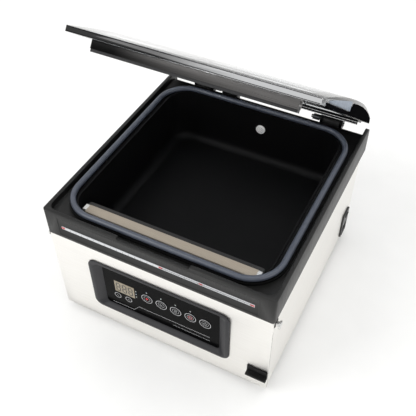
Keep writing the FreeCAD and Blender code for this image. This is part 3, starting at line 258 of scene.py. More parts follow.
# Case screws: stainless pan heads with a cross recess, one in each corner of the back sheet; and the
# tools that repeat a small shape, turn one on a lathe or ease a block's edges.
def copies_tree():
    """Geometry Nodes that repeat the incoming mesh in columns and rows."""
    tree = bpy.data.node_groups.new("copies_in_rows", "GeometryNodeTree")
    tree.interface.new_socket("Geometry", in_out="INPUT", socket_type="NodeSocketGeometry")
    for name, kind in (("Count Across", "NodeSocketInt"), ("Count Up", "NodeSocketInt"),
                       ("Step Across", "NodeSocketFloat"), ("Step Up", "NodeSocketFloat"),
                       ("Finish", "NodeSocketMaterial")):
        tree.interface.new_socket(name, in_out="INPUT", socket_type=kind)
    tree.interface.new_socket("Geometry", in_out="OUTPUT", socket_type="NodeSocketGeometry")
    given = add(tree, "NodeGroupInput").outputs
    across = add(tree, "ShaderNodeCombineXYZ", {"X": given["Step Across"]}).outputs[0]
    upward = add(tree, "ShaderNodeCombineXYZ", {"Z": given["Step Up"]}).outputs[0]
    row = add(tree, "GeometryNodeMeshLine",
              {"Count": given["Count Across"], "Offset": across}, mode="OFFSET")
    stack = add(tree, "GeometryNodeMeshLine",
                {"Count": given["Count Up"], "Offset": upward}, mode="OFFSET")
    one_row = add(tree, "GeometryNodeInstanceOnPoints",
                  {"Points": row.outputs[0], "Instance": given["Geometry"]})
    all_rows = add(tree, "GeometryNodeInstanceOnPoints",
                   {"Points": stack.outputs[0], "Instance": one_row.outputs[0]})
    real = add(tree, "GeometryNodeRealizeInstances", {"Geometry": all_rows.outputs[0]})
    done = add(tree, "GeometryNodeSetMaterial", {"Geometry": real.outputs[0], "Material": given["Finish"]})
    add(tree, "NodeGroupOutput", {"Geometry": done.outputs[0]})
    return tree


COPIES = copies_tree()


def repeated(shape, name, counts, steps, material, place, body, slot, *replaced):
    """Repeats a small mesh in x and z, then moves the set by a matrix and settles it on its body."""
    bmesh.ops.recalc_face_normals(shape, faces=shape.faces)
    draft = draft_of(shape, name)
    modifier = draft.modifiers.new("Copies", "NODES")
    modifier.node_group = COPIES
    sockets = {item.name: item.identifier for item in COPIES.interface.items_tree if item.in_out == "INPUT"}
    modifier[sockets["Count Across"]], modifier[sockets["Count Up"]] = counts
    modifier[sockets["Step Across"]], modifier[sockets["Step Up"]] = steps
    modifier[sockets["Finish"]] = material
    piece = settle(draft, name, material, body, slot, *replaced)
    piece.data.transform(place)
    return piece


def turned(shape, profile, steps=32, centre=(0, 0, 0), axis="y"):
    """Spins (radius, height) points about an axis through a centre; a zero radius closes the pole."""
    rings = []
    for radius, height in profile:
        count = 1 if radius == 0 else steps
        ring = []
        for step in range(count):
            angle = 2 * math.pi * step / steps
            a, b = radius * math.cos(angle), radius * math.sin(angle)
            point = {"x": (height, a, b), "y": (a, height, b), "z": (a, b, height)}[axis]
            ring.append(shape.verts.new(Vector(point) + Vector(centre)))
        rings.append(ring)
    for low, high in zip(rings, rings[1:]):
        for step in range(steps):
            corners = [low[step % len(low)], low[(step + 1) % len(low)],
                       high[(step + 1) % len(high)], high[step % len(high)]]
            unique = list(dict.fromkeys(corners))
            if len(unique) > 2:
                shape.faces.new(unique)
    return shape


def slab(shape, low, high, ease=0.0002):
    """A block between two corners with its edges eased."""
    made = bmesh.ops.create_cube(shape, size=1.0)["verts"]
    centre = (Vector(low) + Vector(high)) / 2
    spread = Vector(high) - Vector(low)
    for vert in made:
        vert.co = Vector((vert.co.x * spread.x, vert.co.y * spread.y, vert.co.z * spread.z)) + centre
    edges = list({edge for vert in made for edge in vert.link_edges})
    bmesh.ops.bevel(shape, geom=edges, offset=ease, segments=2, affect="EDGES", profile=0.5)
    return shape


polished_steel, tree, shader = finish("turned_stainless_steel", Metallic=1.0)
link(tree, tint(tree, speckle(tree, (1.5, 1.5, 1.5)), "#c9c9c8", "#e6e6e4"), shader, "Base Color")
link(tree, vary(tree, speckle(tree, (4, 4, 4)), 0.16, 0.28), shader, "Roughness")
dress(polished_steel, "rear_screws", "door_pivots", "lift_rods", "hinge_pins", "seal_bar_clips",
      "counter_bar_screws", "hinge_rail_screws", "heating_band")
# Painted shade: flat dark marks stand where hollows or gaps would lie in shade (screw recesses, cap holes,
# fold lines).
recess_shadow, tree, shader = finish("painted_recess_shade", Metallic=0.6, Roughness=0.5)
link(tree, tint(tree, speckle(tree, (1, 1, 1)), "#1c1c1c", "#2c2c2c"), shader, "Base Color")
screw_low, screw_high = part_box("rear_screws")
HEAD_RADIUS = 0.0034
RECESS_REACH, RECESS_HALF, RECESS_DEEP, FINE = 0.0017, 0.0004, 0.00005, 0.00002
# The cross recesses are not cut: they are flat dark crosses of painted shade on the heads.
cross = bmesh.new()
for reach, half in ((RECESS_REACH, RECESS_HALF), (RECESS_HALF, RECESS_REACH)):
    slab(cross, (-reach, -RECESS_DEEP, -half), (reach, RECESS_DEEP, half), FINE)
repeated(cross, "rear_screw_recess_shade", (2, 2),
         (screw_high.x - screw_low.x - 2 * HEAD_RADIUS, screw_high.z - screw_low.z - 2 * HEAD_RADIUS),
         recess_shadow,
         Matrix.Translation((screw_low.x + HEAD_RADIUS, screw_high.y, screw_low.z + HEAD_RADIUS)),
         "base", "bright_metal")


# The top tray: one black injection-moulded ABS part that forms the rim, the deck round the chamber
# and the skirt over the case; satin, with a fine brushed grain moulded into its outer faces.
black_abs, tree, shader = finish("satin_black_abs_moulding", IOR=1.54, Specular_IOR_Level=0.32)
grain = speckle(tree, (0.9, 0.9, 22), 3.0)    # moulded grain runs up and down the skirt
soft = speckle(tree, (45, 45, 45))
link(tree, tint(tree, soft, "#0e0e0e", "#191918"), shader, "Base Color")
link(tree, vary(tree, grain, 0.34, 0.5), shader, "Roughness")
relief(tree, shader, grain, 0.05, 0.45)
eased("upper_frame", 0.7, black_abs, "frame_metal")


# The bag rule: a printed polyester label let into the front of the tray, with a tick every 10 mm
# and red marks at both ends and at two bag widths.
rule_low, rule_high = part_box("ruler_strip")
label_film, tree, shader = finish("printed_white_polyester_label", Roughness=0.32, Coat_Weight=0.3)
link(tree, tint(tree, speckle(tree, (30, 30, 30)), "#c9cbce", "#dcdde0"), shader, "Base Color")
dress(label_film, "ruler_strip")
grey_ink, tree, shader = finish("grey_screen_ink", Roughness=0.5)
link(tree, tint(tree, speckle(tree, (2, 2, 2)), "#55585c", "#6a6d70"), shader, "Base Color")
red_ink, tree, shader = finish("red_screen_ink", Roughness=0.45)
link(tree, tint(tree, speckle(tree, (2, 2, 2)), "#c4202a", "#d8343a"), shader, "Base Color")
INK = 0.00008                                   # thickness of a printed mark, raised so that it is solid
rule_middle = (rule_low.x + rule_high.x) / 2
for name, half, tall, count, pitch, first, foot in (
        ("rule_ticks", 0.00025, 0.0026, 31, 0.01, -0.15, 0.0005),
        ("rule_fine_ticks", 0.0004, rule_high.z - rule_low.z - 0.0024, 93, 0.0015, 0.0135, 0.0012)):
    tick = slab(bmesh.new(), (-half, 0, 0), (half, INK, tall), FINE)
    repeated(tick, name, (count, 1), (pitch, 0), grey_ink,
             Matrix.Translation((rule_middle + first, rule_low.y - INK, rule_low.z + foot)),
             "base", "white_print")
MARK_HALF, MARK_MARGIN = 0.003, 0.001
marks = bmesh.new()
for at in (-0.1525, 0.012, 0.0745, 0.1515):     # both ends and two bag widths
    slab(marks, (at - MARK_HALF, rule_low.y - INK, rule_low.z + MARK_MARGIN),
         (at + MARK_HALF, rule_low.y, rule_high.z - MARK_MARGIN), FINE)


def settled(shape, name, material, body, slot, *replaced):
    """Makes a piece from a finished shape, with its seams closed."""
    bmesh.ops.remove_doubles(shape, verts=shape.verts, dist=1e-7)
    bmesh.ops.recalc_face_normals(shape, faces=shape.faces)
    return settle(draft_of(shape, name), name, material, body, slot, *replaced)


settled(marks, "rule_bag_marks", red_ink, "base", "white_print")


# The vacuum chamber: a deep-drawn steel tub with a black non-stick coating, a rolled bead round its
# mouth and softly rounded corners; the coating has a fine orange-peel surface.
tub_coating, tree, shader = finish("black_nonstick_coating", Specular_IOR_Level=0.12)
peel = speckle(tree, (1.6, 1.6, 1.6))
link(tree, tint(tree, speckle(tree, (70, 70, 50)), "#070708", "#0d0d0e"), shader, "Base Color")
link(tree, vary(tree, peel, 0.46, 0.58), shader, "Roughness")
relief(tree, shader, peel, 0.03, 0.35)
dress(tub_coating, "chamber_tub")


# The chamber seal: a round cord of dark grey silicone rubber laid loose round the chamber's mouth,
# extruded, so its skin is smooth with a faint bloom.
silicone_cord, tree, shader = finish("dark_grey_silicone_rubber", IOR=1.43, Coat_Weight=0.35,
                                     Coat_Roughness=0.22)
link(tree, tint(tree, speckle(tree, (8, 8, 8), 4.0), "#3b404a", "#4e5461"), shader, "Base Color")
link(tree, vary(tree, speckle(tree, (5, 5, 5)), 0.28, 0.40), shader, "Roughness")
relief(tree, shader, speckle(tree, (0.8, 0.8, 0.8)), 0.012, 0.3)
dress(silicone_cord, "chamber_gasket")


# The suction port's cover: a small white acetal cap with a rounded edge, pressed on the nozzle in the
# chamber's rear wall and drilled with rings of holes that keep crumbs out of the pump.
port_low, port_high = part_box("vacuum_port")
port_x = (port_low.x + port_high.x) / 2
port_z = port_high.z - 0.008
COVER_RADIUS, COVER_DEEP = 0.0082, 0.0032
cap_face = port_low.y - 0.0003
cover_profile = ((0, 0), (COVER_RADIUS - 0.0008, 0), (COVER_RADIUS - 0.0002, 0.0002),
                 (COVER_RADIUS, 0.0008), (COVER_RADIUS, COVER_DEEP), (0, COVER_DEEP))
cover = turned(bmesh.new(), cover_profile, 48, (port_x, cap_face, port_z))
white_acetal, tree, shader = finish("white_acetal_moulding", Roughness=0.34)
link(tree, tint(tree, speckle(tree, (3, 3, 3)), "#f4f4f2", "#fdfdfc"), shader, "Base Color")
settled(cover, "port_cover", white_acetal, "base", "bright_metal")
dress(white_acetal, "vacuum_port")
# The holes are not drilled: dark discs of painted shade sit in the cap's face where they would be.
HOLE_RADIUS, HOLE_PROUD, HOLE_DEEP = 0.00045, 0.00004, 0.0002
hole_profile = ((0, -HOLE_PROUD), (HOLE_RADIUS, -HOLE_PROUD), (HOLE_RADIUS, HOLE_DEEP), (0, HOLE_DEEP))
holes = bmesh.new()
for count, circle in ((6, 0.0026), (12, 0.0052)):
    for step in range(count):
        turn = 2 * math.pi * step / count
        turned(holes, hole_profile, 10,
               (port_x + circle * math.cos(turn), cap_face, port_z + circle * math.sin(turn)))
settled(holes, "port_cover_hole_shade", recess_shadow, "base", "bright_metal")


# The seal bar: a black phenolic block that the two air cylinders push up; a flat resistance band
# lies in its groove under a strip of woven PTFE-coated glass cloth, clamped at both ends.
phenolic, tree, shader = finish("black_phenolic_resin", Roughness=0.42)
link(tree, tint(tree, speckle(tree, (6, 6, 6), 4.0), "#141313", "#201e1c"), shader, "Base Color")
relief(tree, shader, speckle(tree, (1.2, 1.2, 1.2)), 0.02, 0.3)
dress(phenolic, "seal_bar_base")
ptfe_cloth, tree, shader = finish("ptfe_coated_glass_cloth", Roughness=0.38, Coat_Weight=0.2,
                                  Coat_Roughness=0.3)
place = add(tree, "ShaderNodeTexCoord").outputs["Object"]
THREAD = 0.9                                    # thread spacing; the real 0.5 mm would not show
WAVES = 1000 / THREAD / 6.283                   # the wave texture's scale for that spacing
threads = [add(tree, "ShaderNodeTexWave", {"Vector": place, "Scale": WAVES, "Distortion": 0.6},
               wave_type="BANDS", bands_direction=way).outputs["Fac"] for way in ("X", "Y")]
weave = add(tree, "ShaderNodeMath", {0: threads[0], 1: threads[1]}, operation="MULTIPLY").outputs[0]
shade = add(tree, "ShaderNodeMath", {0: weave, 1: speckle(tree, (40, 3, 3))},
            operation="MULTIPLY").outputs[0]
link(tree, tint(tree, shade, "#9a8f80", "#c9bfae"), shader, "Base Color")
relief(tree, shader, weave, 0.05, 0.5)
tape_low, tape_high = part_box("seal_tape")
FRONT_TURN = 0.0016                             # the cloth's round turn over the bar's front edge
CLOTH, RIPPLE = 0.00025, 0.00012                # its thickness, and how far it lies uneven
COLUMNS, TURN_STEPS = 96, 6
profile = [(tape_low.y, tape_low.z)]
for step in range(TURN_STEPS + 1):
    angle = math.pi - step * math.pi / 2 / TURN_STEPS
    profile.append((tape_low.y + FRONT_TURN + FRONT_TURN * math.cos(angle),
                    tape_high.z - FRONT_TURN + FRONT_TURN * math.sin(angle)))
profile.append((tape_high.y, tape_high.z))
strip_mesh = bmesh.new()
strip = []
for column in range(COLUMNS + 1):
    x = tape_low.x + (tape_high.x - tape_low.x) * column / COLUMNS
    sag = abs(RIPPLE * math.sin(column * 1.7) * math.sin(column * 0.6))
    strip.append([strip_mesh.verts.new((x, y, z - sag if row else z)) for row, (y, z) in enumerate(profile)])
for first, second in zip(strip, strip[1:]):
    for low, high in zip(range(len(profile)), range(1, len(profile))):
        strip_mesh.faces.new((first[low], second[low], second[high], first[high]))
bmesh.ops.recalc_face_normals(strip_mesh, faces=strip_mesh.faces)
draft = draft_of(strip_mesh, "tape_draft")
wall = draft.modifiers.new("Cloth thickness", "SOLIDIFY")
wall.thickness = CLOTH
wall.offset = 0.0
settle(draft, "sealing_tape", ptfe_cloth, "seal_bar", "tape_cloth", "seal_tape")

cylinder_metal, tree, shader = finish("clear_anodised_cylinder", Metallic=1.0)
link(tree, tint(tree, speckle(tree, (2, 2, 30)), "#9d9ea0", "#b9babb"), shader, "Base Color")
link(tree, vary(tree, speckle(tree, (3, 3, 3)), 0.25, 0.36), shader, "Roughness")
dress(cylinder_metal, "lift_cylinders")


# The lid: one thick clear cast-acrylic moulding, flat below, arched above and hollow over the chamber,
# with flame-polished edges; it turns on two pins at the back.
lid_joint = next(joint for joint in frame["joints"] if joint["name"] == "lid_hinge")
HINGE = Vector(lid_joint["pos_m"])
OPEN = Matrix.Rotation(math.radians(lid_joint["range_deg"][0]), 4, "X")
LID_FRAME = Matrix.Translation(HINGE) @ OPEN    # the closed lid's frame, about its hinge, turned open
lid_bottom = 0.0138                             # underside of the closed lid above the hinge axis
clear_acrylic, tree, shader = finish("polished_cast_acrylic", IOR=1.49, Transmission_Weight=1.0)
haze = speckle(tree, (30, 30, 30))
link(tree, tint(tree, haze, "#eef2f6", "#fafcfd"), shader, "Base Color")
link(tree, vary(tree, haze, 0.004, 0.016), shader, "Roughness")
lid_shell = eased("lid_panel", 0.4, clear_acrylic, "clear_acrylic")
# The lid's front edge face is painted black, and its fade to pale grey towards the right end is a painted
# reflection.
edge_black_and_reflection, tree, shader = finish("black_edge_with_painted_reflection", Roughness=0.08)
link(tree, fade(tree, -0.05, 0.09, linear("#060606"), linear("#b4b5b6"), interpolation_type="SMOOTHSTEP"),
     shader, "Base Color")
back_paint, tree, shader = finish("black_back_printed_band", Roughness=0.4, Specular_IOR_Level=0.2)
link(tree, tint(tree, speckle(tree, (4, 4, 4)), "#070707", "#0f0f0f"), shader, "Base Color")
lid_shell.data.materials.append(edge_black_and_reflection)
lid_shell.data.materials.append(back_paint)
EDGE_BLACK_AND_REFLECTION, BACK_BAND = 1, 2                     # their places in the list, after the clear acrylic
to_lid = LID_FRAME.inverted()
LID_FRONT = -0.380                              # the closed lid's front edge, ahead of its hinge
PAINT_FRONT = -0.0515                           # the printed band ends where the lid's hollow begins
shell = bmesh.new()
shell.from_mesh(lid_shell.data)
bmesh.ops.bisect_plane(shell, geom=shell.verts[:] + shell.edges[:] + shell.faces[:], dist=1e-6,
                       plane_co=LID_FRAME @ Vector((0, PAINT_FRONT, 0)),
                       plane_no=LID_FRAME.to_3x3() @ Vector((0, 1, 0)))
for face in shell.faces:
    centre = to_lid @ face.calc_center_median()
    facing = to_lid.to_3x3() @ face.normal
    if centre.y < LID_FRONT + 0.0015 and facing.y < -0.6:
        face.material_index = EDGE_BLACK_AND_REFLECTION
    if centre.y > PAINT_FRONT and facing.z < -0.9 and centre.z < lid_bottom + 0.001:
        face.material_index = BACK_BAND
shell.to_mesh(lid_shell.data)
shell.free()


# The lid's side plates and finger ribs: black ABS plates screwed to the acrylic's ends, and on each
# clear side ahead of them a row of upright ribs as a grip, their blue-grey colour painted shade for light
# bent through the clear ribs; dark lines border the front edge.
trim_abs, tree, shader = finish("black_abs_side_plate", Specular_IOR_Level=0.0)
fine = speckle(tree, (0.9, 0.9, 0.9))
link(tree, tint(tree, speckle(tree, (30, 30, 30)), "#080809", "#111112"), shader, "Base Color")
link(tree, vary(tree, fine, 0.34, 0.48), shader, "Roughness")
relief(tree, shader, fine, 0.02, 0.3)
for end in ("lid_trim_left", "lid_trim_right"):
    eased(end, 0.5, trim_abs, "black_plastic")
# Painted shade: the ribs' opaque blue-grey stands in for light bent through clear acrylic.
rib_painted_shade, tree, shader = finish("blue_grey_painted_rib_shade", Roughness=0.3)
link(tree, tint(tree, speckle(tree, (9, 9, 9), 4.0), "#7d8896", "#aab3bf"), shader, "Base Color")
panel_high_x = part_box("lid_panel")[1].x
BORDER_TALL, BORDER_MARGIN = 0.0008, 0.001
borders = bmesh.new()
for low in (0.0144, 0.0206):                    # along both corners of the lid's front edge
    slab(borders, (-panel_high_x + BORDER_MARGIN, LID_FRONT - 0.00003, low),
         (panel_high_x - BORDER_MARGIN, LID_FRONT + 0.0003, low + BORDER_TALL), 0.00001)
borders.transform(LID_FRAME)
settled(borders, "lid_edge_border_lines", trim_abs, "lid", "clear_acrylic")
RIBS, RIB_STEP, RIB_BACK = 34, 0.0044, -0.194   # forward from the plate's shoulder
RIB_HALF, RIB_SUNK, RIB_PROUD, RIB_SHORT, RIB_GROWTH = 0.0009, 0.0004, 0.0016, 0.0015, 0.0125
rib_foot = lid_bottom + 0.0058
for side_name, sign in (("right", 1), ("left", -1)):
    ribs = bmesh.new()
    inner, outer = sorted((sign * (panel_high_x - RIB_SUNK), sign * (panel_high_x + RIB_PROUD)))
    for count in range(RIBS):
        share = 1 - count / RIBS                # they shrink towards the front as the lid gets thinner
        height = RIB_SHORT + RIB_GROWTH * share ** 0.8
        middle = RIB_BACK - RIB_STEP * count
        slab(ribs, (inner, middle - RIB_HALF, rib_foot), (outer, middle + RIB_HALF, rib_foot + height),
             0.0003)
    ribs.transform(LID_FRAME)
    settled(ribs, "lid_grip_ribs_" + side_name, rib_painted_shade, "lid", "clear_acrylic")


# The counter bar: a black-anodised aluminium extrusion, paler towards its right end, holding a strip
# of black silicone that presses the bag on the seal bar.
anodised, tree, shader = finish("dark_anodised_aluminium", Metallic=1.0)
pulled = speckle(tree, (60, 0.8, 0.8), 3.0)     # die lines of the extrusion run along it
streaks = tint(tree, pulled, "#565554", "#757372")
link(tree, fade(tree, -0.11, 0.10, linear("#141414"), streaks), shader, "Base Color")
link(tree, vary(tree, pulled, 0.26, 0.36), shader, "Roughness")
relief(tree, shader, pulled, 0.02, 0.3)
eased("counter_bar", 0.25, anodised, "bar_aluminium")
black_silicone, tree, shader = finish("black_silicone_strip", IOR=1.43)
link(tree, tint(tree, speckle(tree, (5, 5, 5)), "#121214", "#1c1c1f"), shader, "Base Color")
link(tree, vary(tree, speckle(tree, (1, 1, 1)), 0.45, 0.6), shader, "Roughness")
dress(black_silicone, "counter_strip")


# The hinge: an aluminium angle screwed under the lid with pairs of ears, turning on steel pins in two
# black cast posts, and coil springs round the pins that carry part of the lid's weight.
rail_metal, tree, shader = finish("black_anodised_angle", Metallic=1.0)
pulled = speckle(tree, (60, 0.9, 0.9), 3.0)
link(tree, tint(tree, pulled, "#101011", "#1d1d1e"), shader, "Base Color")
link(tree, vary(tree, pulled, 0.3, 0.42), shader, "Roughness")
relief(tree, shader, pulled, 0.02, 0.3)
dress(rail_metal, "hinge_rail")
# Painted highlights: pale lines along the angle's lip corners stand in for light caught on its edges.
edge_painted_highlight, tree, shader = finish("painted_edge_highlight", Metallic=1.0)
link(tree, tint(tree, speckle(tree, (8, 0.5, 0.5)), "#d2d3d4", "#efefee"), shader, "Base Color")
link(tree, vary(tree, speckle(tree, (3, 3, 3)), 0.2, 0.32), shader, "Roughness")
RAIL_FACE, RAIL_HALF = -0.026, 0.1645           # the angle's front lip, and half its length
EDGE_TALL, EDGE_PROUD, EDGE_SUNK = 0.0008, 0.00012, 0.0003
highlight_lines = bmesh.new()
for low in (0.0060, 0.0096):                    # along the lip's lower and upper corners
    slab(highlight_lines, (-RAIL_HALF, RAIL_FACE - EDGE_PROUD, low),
         (RAIL_HALF, RAIL_FACE + EDGE_SUNK, low + EDGE_TALL), 0.00004)
highlight_lines.transform(LID_FRAME)
settled(highlight_lines, "hinge_rail_painted_highlights", edge_painted_highlight, "lid", "bar_aluminium")
powder, tree, shader = finish("black_powder_coat")
orange = speckle(tree, (1.4, 1.4, 1.4))
link(tree, tint(tree, orange, "#101010", "#1b1b1b"), shader, "Base Color")
link(tree, vary(tree, orange, 0.42, 0.55), shader, "Roughness")
relief(tree, shader, orange, 0.05, 0.5)
for post in ("hinge_post_left", "hinge_post_right"):
    eased(post, 0.6, powder, "post_paint")
sensor_case, tree, shader = finish("black_nylon_sensor_case", Roughness=0.45)
link(tree, tint(tree, speckle(tree, (2, 2, 2)), "#151515", "#202020"), shader, "Base Color")
eased("lid_sensor", 0.5, sensor_case, "black_plastic")


def coil_tree():
    """Geometry Nodes for a close-wound spring: a helix with a round wire run along it."""
    tree = bpy.data.node_groups.new("wound_spring", "GeometryNodeTree")
    for name in ("Coil Radius", "Length", "Turns", "Wire Radius"):
        tree.interface.new_socket(name, in_out="INPUT", socket_type="NodeSocketFloat")
    tree.interface.new_socket("Finish", in_out="INPUT", socket_type="NodeSocketMaterial")
    tree.interface.new_socket("Geometry", in_out="OUTPUT", socket_type="NodeSocketGeometry")
    given = add(tree, "NodeGroupInput").outputs
    helix = add(tree, "GeometryNodeCurveSpiral", {
        "Resolution": 20, "Rotations": given["Turns"], "Start Radius": given["Coil Radius"],
        "End Radius": given["Coil Radius"], "Height": given["Length"]})
    section = add(tree, "GeometryNodeCurvePrimitiveCircle",
                  {"Resolution": 10, "Radius": given["Wire Radius"]})
    wire = add(tree, "GeometryNodeCurveToMesh", {"Curve": helix.outputs[0],
                                                 "Profile Curve": section.outputs[0], "Fill Caps": True})
    real = add(tree, "GeometryNodeRealizeInstances", {"Geometry": wire.outputs[0]})
    done = add(tree, "GeometryNodeSetMaterial", {"Geometry": real.outputs[0], "Material": given["Finish"]})
    add(tree, "NodeGroupOutput", {"Geometry": done.outputs[0]})
    return tree


COIL = coil_tree()
spring_steel, tree, shader = finish("oiled_spring_steel", Metallic=1.0)
link(tree, tint(tree, speckle(tree, (2, 2, 2)), "#6f7073", "#8d8e90"), shader, "Base Color")
link(tree, vary(tree, speckle(tree, (1, 1, 1)), 0.25, 0.4), shader, "Roughness")
spring_low, spring_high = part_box("hinge_springs")
WIRE, SPRING_SPAN, SPRING_TURNS = 0.00105, 0.0144, 6.0
EAR_GAP = 0.0059                                # from a post's inner face to its spring
spring_radius = (spring_high.y - spring_low.y) / 2 - WIRE - 0.0001
inner_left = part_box("hinge_post_left")[1].x + EAR_GAP
spring_sizes = {"Coil Radius": spring_radius, "Length": SPRING_SPAN - 2 * WIRE, "Turns": SPRING_TURNS,
                "Wire Radius": WIRE, "Finish": spring_steel}
for side_name, start in (("left", inner_left), ("right", -inner_left - SPRING_SPAN)):
    draft = draft_of(bmesh.new(), "spring_draft")
    modifier = draft.modifiers.new("Wound spring", "NODES")
    modifier.node_group = COIL
    for item in COIL.interface.items_tree:
        if item.in_out == "INPUT":
            modifier[item.identifier] = spring_sizes[item.name]
    spring = settle(draft, "torsion_spring_" + side_name, spring_steel, "base", "bright_metal",
                    "hinge_springs")
    spring.data.transform(Matrix.Translation((start + WIRE, HINGE.y, HINGE.z))
                          @ Matrix.Rotation(math.pi / 2, 4, "Y"))


# The control surround: a dark grey moulded ABS frame clipped through the front panel, with sloped
# inner walls down to the controls and a fine spark texture.
surround_abs, tree, shader = finish("dark_grey_spark_textured_abs", Specular_IOR_Level=0.3)
spark = speckle(tree, (0.8, 0.8, 0.8))
link(tree, tint(tree, speckle(tree, (30, 30, 30)), "#232326", "#2f2f32"), shader, "Base Color")
link(tree, vary(tree, spark, 0.36, 0.5), shader, "Roughness")
relief(tree, shader, spark, 0.04, 0.4)
eased("control_bezel", 0.8, surround_abs, "bezel_plastic", 3)


# The control overlay: gloss black polyester over the button plate, printed from behind with pale
# lines, rings and simple signs; nothing on it is a name.
overlay, tree, shader = finish("gloss_black_polyester_overlay", Specular_IOR_Level=0.03)
link(tree, tint(tree, speckle(tree, (40, 40, 40)), "#050505", "#0a0a0b"), shader, "Base Color")
link(tree, vary(tree, speckle(tree, (12, 12, 12)), 0.16, 0.24), shader, "Roughness")
dress(overlay, "control_fascia")
pale_ink, tree, shader = finish("pale_grey_screen_ink", Roughness=0.5)
link(tree, tint(tree, speckle(tree, (2, 2, 2)), "#b9babc", "#d3d4d6"), shader, "Base Color")
face_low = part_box("control_fascia")[0]
PRINT = 0.00006                                 # how far a printed line stands proud


def stroke(shape, points, width, y, centre=(0, 0)):
    """A printed line of even width through (x, z) points about a centre, on a face whose front is y."""
    points = [(x + centre[0], z + centre[1]) for x, z in points]
    edges = []
    for number, point in enumerate(points):
        before = Vector(points[max(number - 1, 0)])
        after = Vector(points[min(number + 1, len(points) - 1)])
        across = (after - before).orthogonal().normalized() * width / 2
        edges.append((Vector(point) - across, Vector(point) + across))
    ring = [[shape.verts.new((p.x, level, p.y)) for level in (y - PRINT, y + PRINT) for p in pair]
            for pair in edges]
    for a, b in zip(ring, ring[1:]):
        for i, j in ((0, 1), (1, 3), (3, 2), (2, 0)):
            shape.faces.new((a[i], a[j], b[j], b[i]))
    if points[0] != points[-1]:
        for end in (ring[0], ring[-1]):
            shape.faces.new([end[i] for i in (0, 1, 3, 2)])


def arc(radius, start=0, end=360, steps=28):
    """Points in x and z of an arc round the origin, in degrees."""
    turns = [math.radians(start + (end - start) * step / steps) for step in range(steps + 1)]
    return [(radius * math.cos(turn), radius * math.sin(turn)) for turn in turns]


LINE_DROP, LINE_RISE, LINE_END = 0.177, 0.0135, 0.084
under = tray_high.z - LINE_DROP
lines = bmesh.new()
stroke(lines, [(-0.0895, under), (-0.0505, under), (-0.0405, under + LINE_RISE),
               (LINE_END, under + LINE_RISE)], 0.0006, face_low.y)
stroke(lines, [(0.020, under + 0.0045), (LINE_END, under + 0.0045)], 0.0005, face_low.y)
settled(lines, "overlay_lines", pale_ink, "service_panel", "fascia_plastic")


# The time display: three seven-segment digits, unlit, behind a smoky amber filter that is set in the
# overlay.
window_low, window_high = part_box("display_window")
filter_film, tree, shader = finish("smoky_display_filter", Roughness=0.3)
link(tree, tint(tree, speckle(tree, (20, 20, 20)), "#8d8370", "#a29782"), shader, "Base Color")
PANE_DEEP = 0.003
pane = slab(bmesh.new(), window_low, (window_high.x, window_low.y + PANE_DEEP, window_high.z), 0.0003)
settled(pane, "display_pane", filter_film, "service_panel", "display_glass", "display_window")
segment_ink, tree, shader = finish("unlit_display_segment", Roughness=0.3)
link(tree, tint(tree, speckle(tree, (6, 6, 6)), "#1f1c17", "#29251e"), shader, "Base Color")
DIGIT_WIDE, DIGIT_TALL, DIGIT_STEP, STROKE_WIDE = 0.0064, 0.0180, 0.0110, 0.0019
LEVEL_GAP, UPRIGHT_GAP = 0.0006, 0.0009         # what a segment leaves free at each end
digit_x = (window_low.x + window_high.x) / 2 - DIGIT_STEP - DIGIT_WIDE / 2
digit_z = (window_low.z + window_high.z) / 2 - DIGIT_TALL / 2
bar = bmesh.new()
stroke(bar, [(LEVEL_GAP, 0), (DIGIT_WIDE - LEVEL_GAP, 0)], STROKE_WIDE, 0)
repeated(bar, "digit_level_segments", (3, 3), (DIGIT_STEP, DIGIT_TALL / 2), segment_ink,
         Matrix.Translation((digit_x, window_low.y, digit_z)), "service_panel", "display_glass")
for number, shift in enumerate((0, DIGIT_WIDE)):
    bar = bmesh.new()
    stroke(bar, [(0, UPRIGHT_GAP), (0, DIGIT_TALL / 2 - UPRIGHT_GAP)], STROKE_WIDE, 0)
    repeated(bar, f"digit_upright_segments_{number}", (3, 2), (DIGIT_STEP, DIGIT_TALL / 2), segment_ink,
             Matrix.Translation((digit_x + shift, window_low.y, digit_z)), "service_panel", "display_glass")


# The seven keys: caps of the same gloss overlay that press switches behind it, each with rings and a
# plain sign; the outer rings run past the caps' edges, and the first and fourth carry a little red.
dress(overlay, "set_button", "pause_button", "cycle_button", "seal_button", "power_button",
      "down_button", "up_button")
SIGNS = {                                       # lines of (x, z) points about each key's centre
    "set_button": [[(-0.0018, 0), (0.0018, 0)], [(0, -0.0018), (0, 0.0018)]],
    "pause_button": [arc(0.0022, 100, 360, 16), [(0, 0), (0.0016, 0.0016)]],
    "cycle_button": [arc(0.0023, 20, 160, 12), arc(0.0023, 200, 340, 12), [(-0.0012, 0), (0.0012, 0)]],
    "seal_button": [arc(0.0021, 0, 360, 18)],
    "power_button": [arc(0.0024, 125, 415, 20), [(0, 0.0006), (0, 0.0031)]],
    "down_button": [[(-0.0018, 0.0009), (0, -0.0012), (0.0018, 0.0009)]],
    "up_button": [[(-0.0018, -0.0009), (0, 0.0012), (0.0018, -0.0009)]],
}
BOLD, THIN, SIGN = 0.0008, 0.0004, 0.0005       # widths of the outer ring, the inner ring and a sign
DOT_RADIUS, DOT_PROUD, RED_RING = 0.0026, 0.0001, 0.0033
